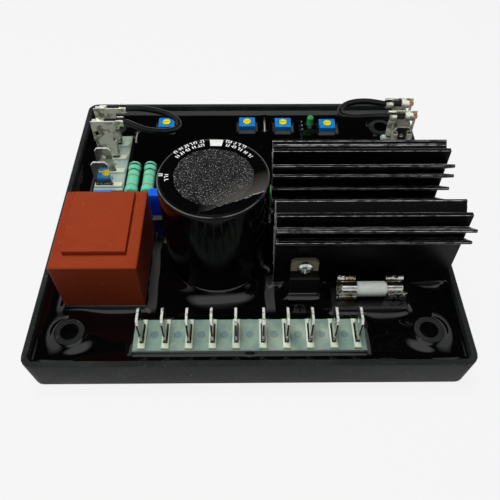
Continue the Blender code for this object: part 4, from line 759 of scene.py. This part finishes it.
def strand_test(node, side):
    """Chooses the bare strands that stick out of a receptacle's crimp."""
    low, high = node_box(node)
    turn = 1 if side == "left" else -1
    outer_x, back_y = (low[0], low[1]) if side == "left" else (high[0], high[1])

    def passes(face):
        centre = face.calc_center_median() / MM
        return (centre.z > 29.2 and turn * (centre.x - outer_x) < 2.0
                and turn * (centre.y - back_y) > 0.7)
    return passes


# The strip joint, and every other node

def make_strip_joint():
    """Closes the hairline between the two front strips, with a round mark on the joint."""
    low, high = node_box("front_terminal_strip_left")
    left = clean_copy("front_terminal_strip_left")
    mark = next(face for face in left.faces if is_mark(face))
    radius, spot = math.sqrt(mark.calc_area() / math.pi), mark.calc_center_median()
    flat = max((face for face in left.faces if face.normal.z > 0.9),
               key=lambda face: face.calc_area()).calc_center_median().z
    left.free()
    # The filler's top lies 0.01 mm above the strips, and the mark's 0.02 mm above that
    width, height, sunk, mark_height = 0.9, 5, 2.49, 0.1
    bm = bmesh.new()
    size = (width * MM, (high[1] - low[1] - 0.1) * MM, height * MM)
    bmesh.ops.create_cube(bm, size=1, matrix=Matrix.Diagonal((*size, 1)))
    bmesh.ops.translate(bm, verts=bm.verts,
                        vec=(0, (low[1] + high[1]) / 2 * MM, flat - sunk * MM))
    new_piece("strip_joint", bm, ["nylon"])
    bm = bmesh.new()
    bmesh.ops.create_cone(bm, cap_ends=True, segments=24, radius1=radius, radius2=radius,
                          depth=mark_height * MM)
    bmesh.ops.translate(bm, verts=bm.verts, vec=(0, spot.y, flat - 0.02 * MM))
    new_piece("strip_joint_mark", bm, ["nylon_mark"])


def dress_nodes():
    """Edges and a finish for the nodes that have no piece yet. The can takes a finish alone."""
    # The tray's bevels take wear with a painted highlight, and its bores painted shade
    refined("case_tray", "case", 0.25, "case_edge", picks=((is_bore, "bore"),))
    refined("circuit_board", "board", 0.05)
    refined("transformer", "transformer", 0.25, segments=3)
    for side in ("front", "rear"):
        refined(side + "_heat_sink", "anodised", 0.07, "anodised_edge")
        refined(side + "_power_transistor", "device", 0.1)
        refined(side + "_transistor_screw", "steel", 0.12)
    for side in ("left", "right"):
        # The strips' ribs and rib ends take painted light
        refined("front_terminal_strip_" + side, "nylon", 0.12, picks=(
            (is_mark, "nylon_mark"), (is_rib, "nylon_rib"), (is_rib_end, "nylon_end")))
        refined(side + "_terminal_block", "nylon_pale", 0.12,
                picks=((is_mark, "nylon_mark"), (is_rib, "nylon_rib")))
        for row in ("front", "rear"):
            node = f"{side}_{row}_receptacle"
            strands = "copper" if side == "right" else "tinned_edge"
            # Painted highlight on the receptacles' bevels; the left strands take the same bright tin
            # as their own colour
            refined(node, "tinned", 0.07, "tinned_edge",
                    picks=((strand_test(node, side), strands),))
    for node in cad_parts:
        if "_blade_" in node:
            # Painted highlight on the blades' bevels and on their faces that look up
            refined(node, "blade", 0.1, "tinned_edge",
                    picks=((lambda face: face.normal.z > 0.3, "tinned_edge"),))
    for index in range(1, 6):
        refined(f"trimmer_{index}_body", "blue", 0.15)
        refined(f"trimmer_{index}_rotor", "yellow", 0.1, body=f"rotor_{index}")
    for side in ("left", "right"):
        refined("fuse_cap_" + side, "steel", 0.15)
        refined("fuse_clip_" + side, "clip", 0.08)
        refined("resistor_" + side, "mint", 0.2)
    refined("fuse_tube", "ceramic", 0.1)
    refined("fuse_holder_base", "bakelite", 0.2)
    refined("status_led", "led", 0.1)
    refined("blue_capacitor", "deep_blue", 0.3, segments=3)
    refined("green_capacitor", "green", 0.2)
    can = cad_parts["capacitor_can"].data
    can.materials.clear()
    can.materials.append(FINISHES["can"].material)


# Floor, world and lights

def make_floor():
    """White to the camera and to reflections, apart from the module's soft shadow."""
    bm = bmesh.new()
    bmesh.ops.create_grid(bm, x_segments=1, y_segments=1, size=3.0)
    mesh = bpy.data.meshes.new("floor")
    bm.to_mesh(mesh)
    bm.free()
    floor = bpy.data.objects.new("floor", mesh)
    floor.location.z = -0.2 * MM
    bpy.context.scene.collection.objects.link(floor)
    made = bpy.data.materials.new("floor")
    made.use_nodes = True
    tree = made.node_tree
    tree.nodes.clear()
    path = add(tree, 'ShaderNodeLightPath')
    paper = add(tree, 'ShaderNodeBsdfDiffuse', {"Color": (0.3, 0.3, 0.3, 1)})
    glow = add(tree, 'ShaderNodeEmission', {"Color": (1, 1, 1, 1), "Strength": 1.08})
    seen = add(tree, 'ShaderNodeMath', {0: path.outputs["Is Camera Ray"],
                                        1: path.outputs["Is Glossy Ray"]}, operation='MAXIMUM')
    share = add(tree, 'ShaderNodeMath', {0: seen.outputs[0], 1: 0.8}, operation='MULTIPLY')
    mix = add(tree, 'ShaderNodeMixShader',
              {0: share.outputs[0], 1: paper.outputs[0], 2: glow.outputs[0]})
    out = add(tree, 'ShaderNodeOutputMaterial')
    tree.links.new(mix.outputs[0], out.inputs[0])
    mesh.materials.append(made)


def make_world():
    """White to the camera, and a dark room with bright places to reflections.

    The bright places are low down all round, at both sides, overhead and behind the camera.
    """
    world = bpy.data.worlds.new("studio")
    bpy.context.scene.world = world
    world.use_nodes = True
    tree = world.node_tree
    tree.nodes.clear()

    def glow(value, start, end, first, last):
        """A strength that goes from first to last while the value goes from start to end."""
        return add(tree, 'ShaderNodeMapRange', {"Value": value, "From Min": start, "From Max": end,
                                                "To Min": first, "To Max": last}).outputs[0]

    def pair(operation, first, second):
        """One sum of two strengths."""
        return add(tree, 'ShaderNodeMath', {0: first, 1: second}, operation=operation).outputs[0]

    place = add(tree, 'ShaderNodeTexCoord').outputs["Generated"]
    across, along, height = add(tree, 'ShaderNodeSeparateXYZ', {"Vector": place}).outputs
    aside = add(tree, 'ShaderNodeMath', {0: across}, operation='ABSOLUTE').outputs[0]
    low = glow(height, 0.28, 0.5, 0.9, 0.01)
    over = glow(height, 0.93, 0.97, 0, 1.4)
    behind = glow(along, -0.3, -0.6, 0, 0.8)
    sides = glow(aside, 0.42, 0.6, 0, 1.0)
    room = pair('MAXIMUM', low, pair('MAXIMUM', sides, pair('ADD', over, behind)))
    path = add(tree, 'ShaderNodeLightPath')
    white = add(tree, 'ShaderNodeBackground', {"Color": (0.914, 0.914, 0.914, 1)})
    mirror = add(tree, 'ShaderNodeBackground', {"Strength": room})
    soft = add(tree, 'ShaderNodeBackground', {"Strength": 0.075})
    shiny = add(tree, 'ShaderNodeMixShader', {0: path.outputs["Is Glossy Ray"],
                                              1: soft.outputs[0], 2: mirror.outputs[0]})
    both = add(tree, 'ShaderNodeMixShader', {0: path.outputs["Is Camera Ray"],
                                             1: shiny.outputs[0], 2: white.outputs[0]})
    out = add(tree, 'ShaderNodeOutputWorld')
    tree.links.new(both.outputs[0], out.inputs[0])


def make_light(name, place, size, power):
    """A soft lamp aimed at the module, which reflections don't show."""
    aim = Vector((0, 0, 0.01))
    light = bpy.data.lights.new(name, 'AREA')
    light.shape = 'RECTANGLE'
    light.size, light.size_y = size
    light.energy = power
    lamp = bpy.data.objects.new(name, light)
    lamp.location = place
    lamp.rotation_euler = (aim - Vector(place)).to_track_quat('-Z', 'Y').to_euler()
    lamp.visible_glossy = False
    bpy.context.scene.collection.objects.link(lamp)


def main():
    """Every piece, then the floor, the world and the lamps."""
    bpy.context.scene.view_settings.view_transform = 'Standard'
    make_jumper("left_jumper_wire", (-55.025, 39.3, 30.2), LEFT_LOOP)
    make_jumper("right_jumper_wire", (60.825, 41.9, 30.2), RIGHT_LOOP)
    make_resin()
    make_sleeve()
    make_disc()
    make_print()
    make_strip_joint()
    dress_nodes()
    make_floor()
    make_world()
    make_light("key", (-0.08, -0.01, 0.62), (0.42, 0.2), 3.5)
    make_light("side", (-0.62, 0.1, 0.28), (0.2, 0.35), 0.3)
    make_light("front", (-0.14, -0.5, 0.5), (0.3, 0.2), 0.17)


set_camera()
FINISHES = made_finishes()
main()
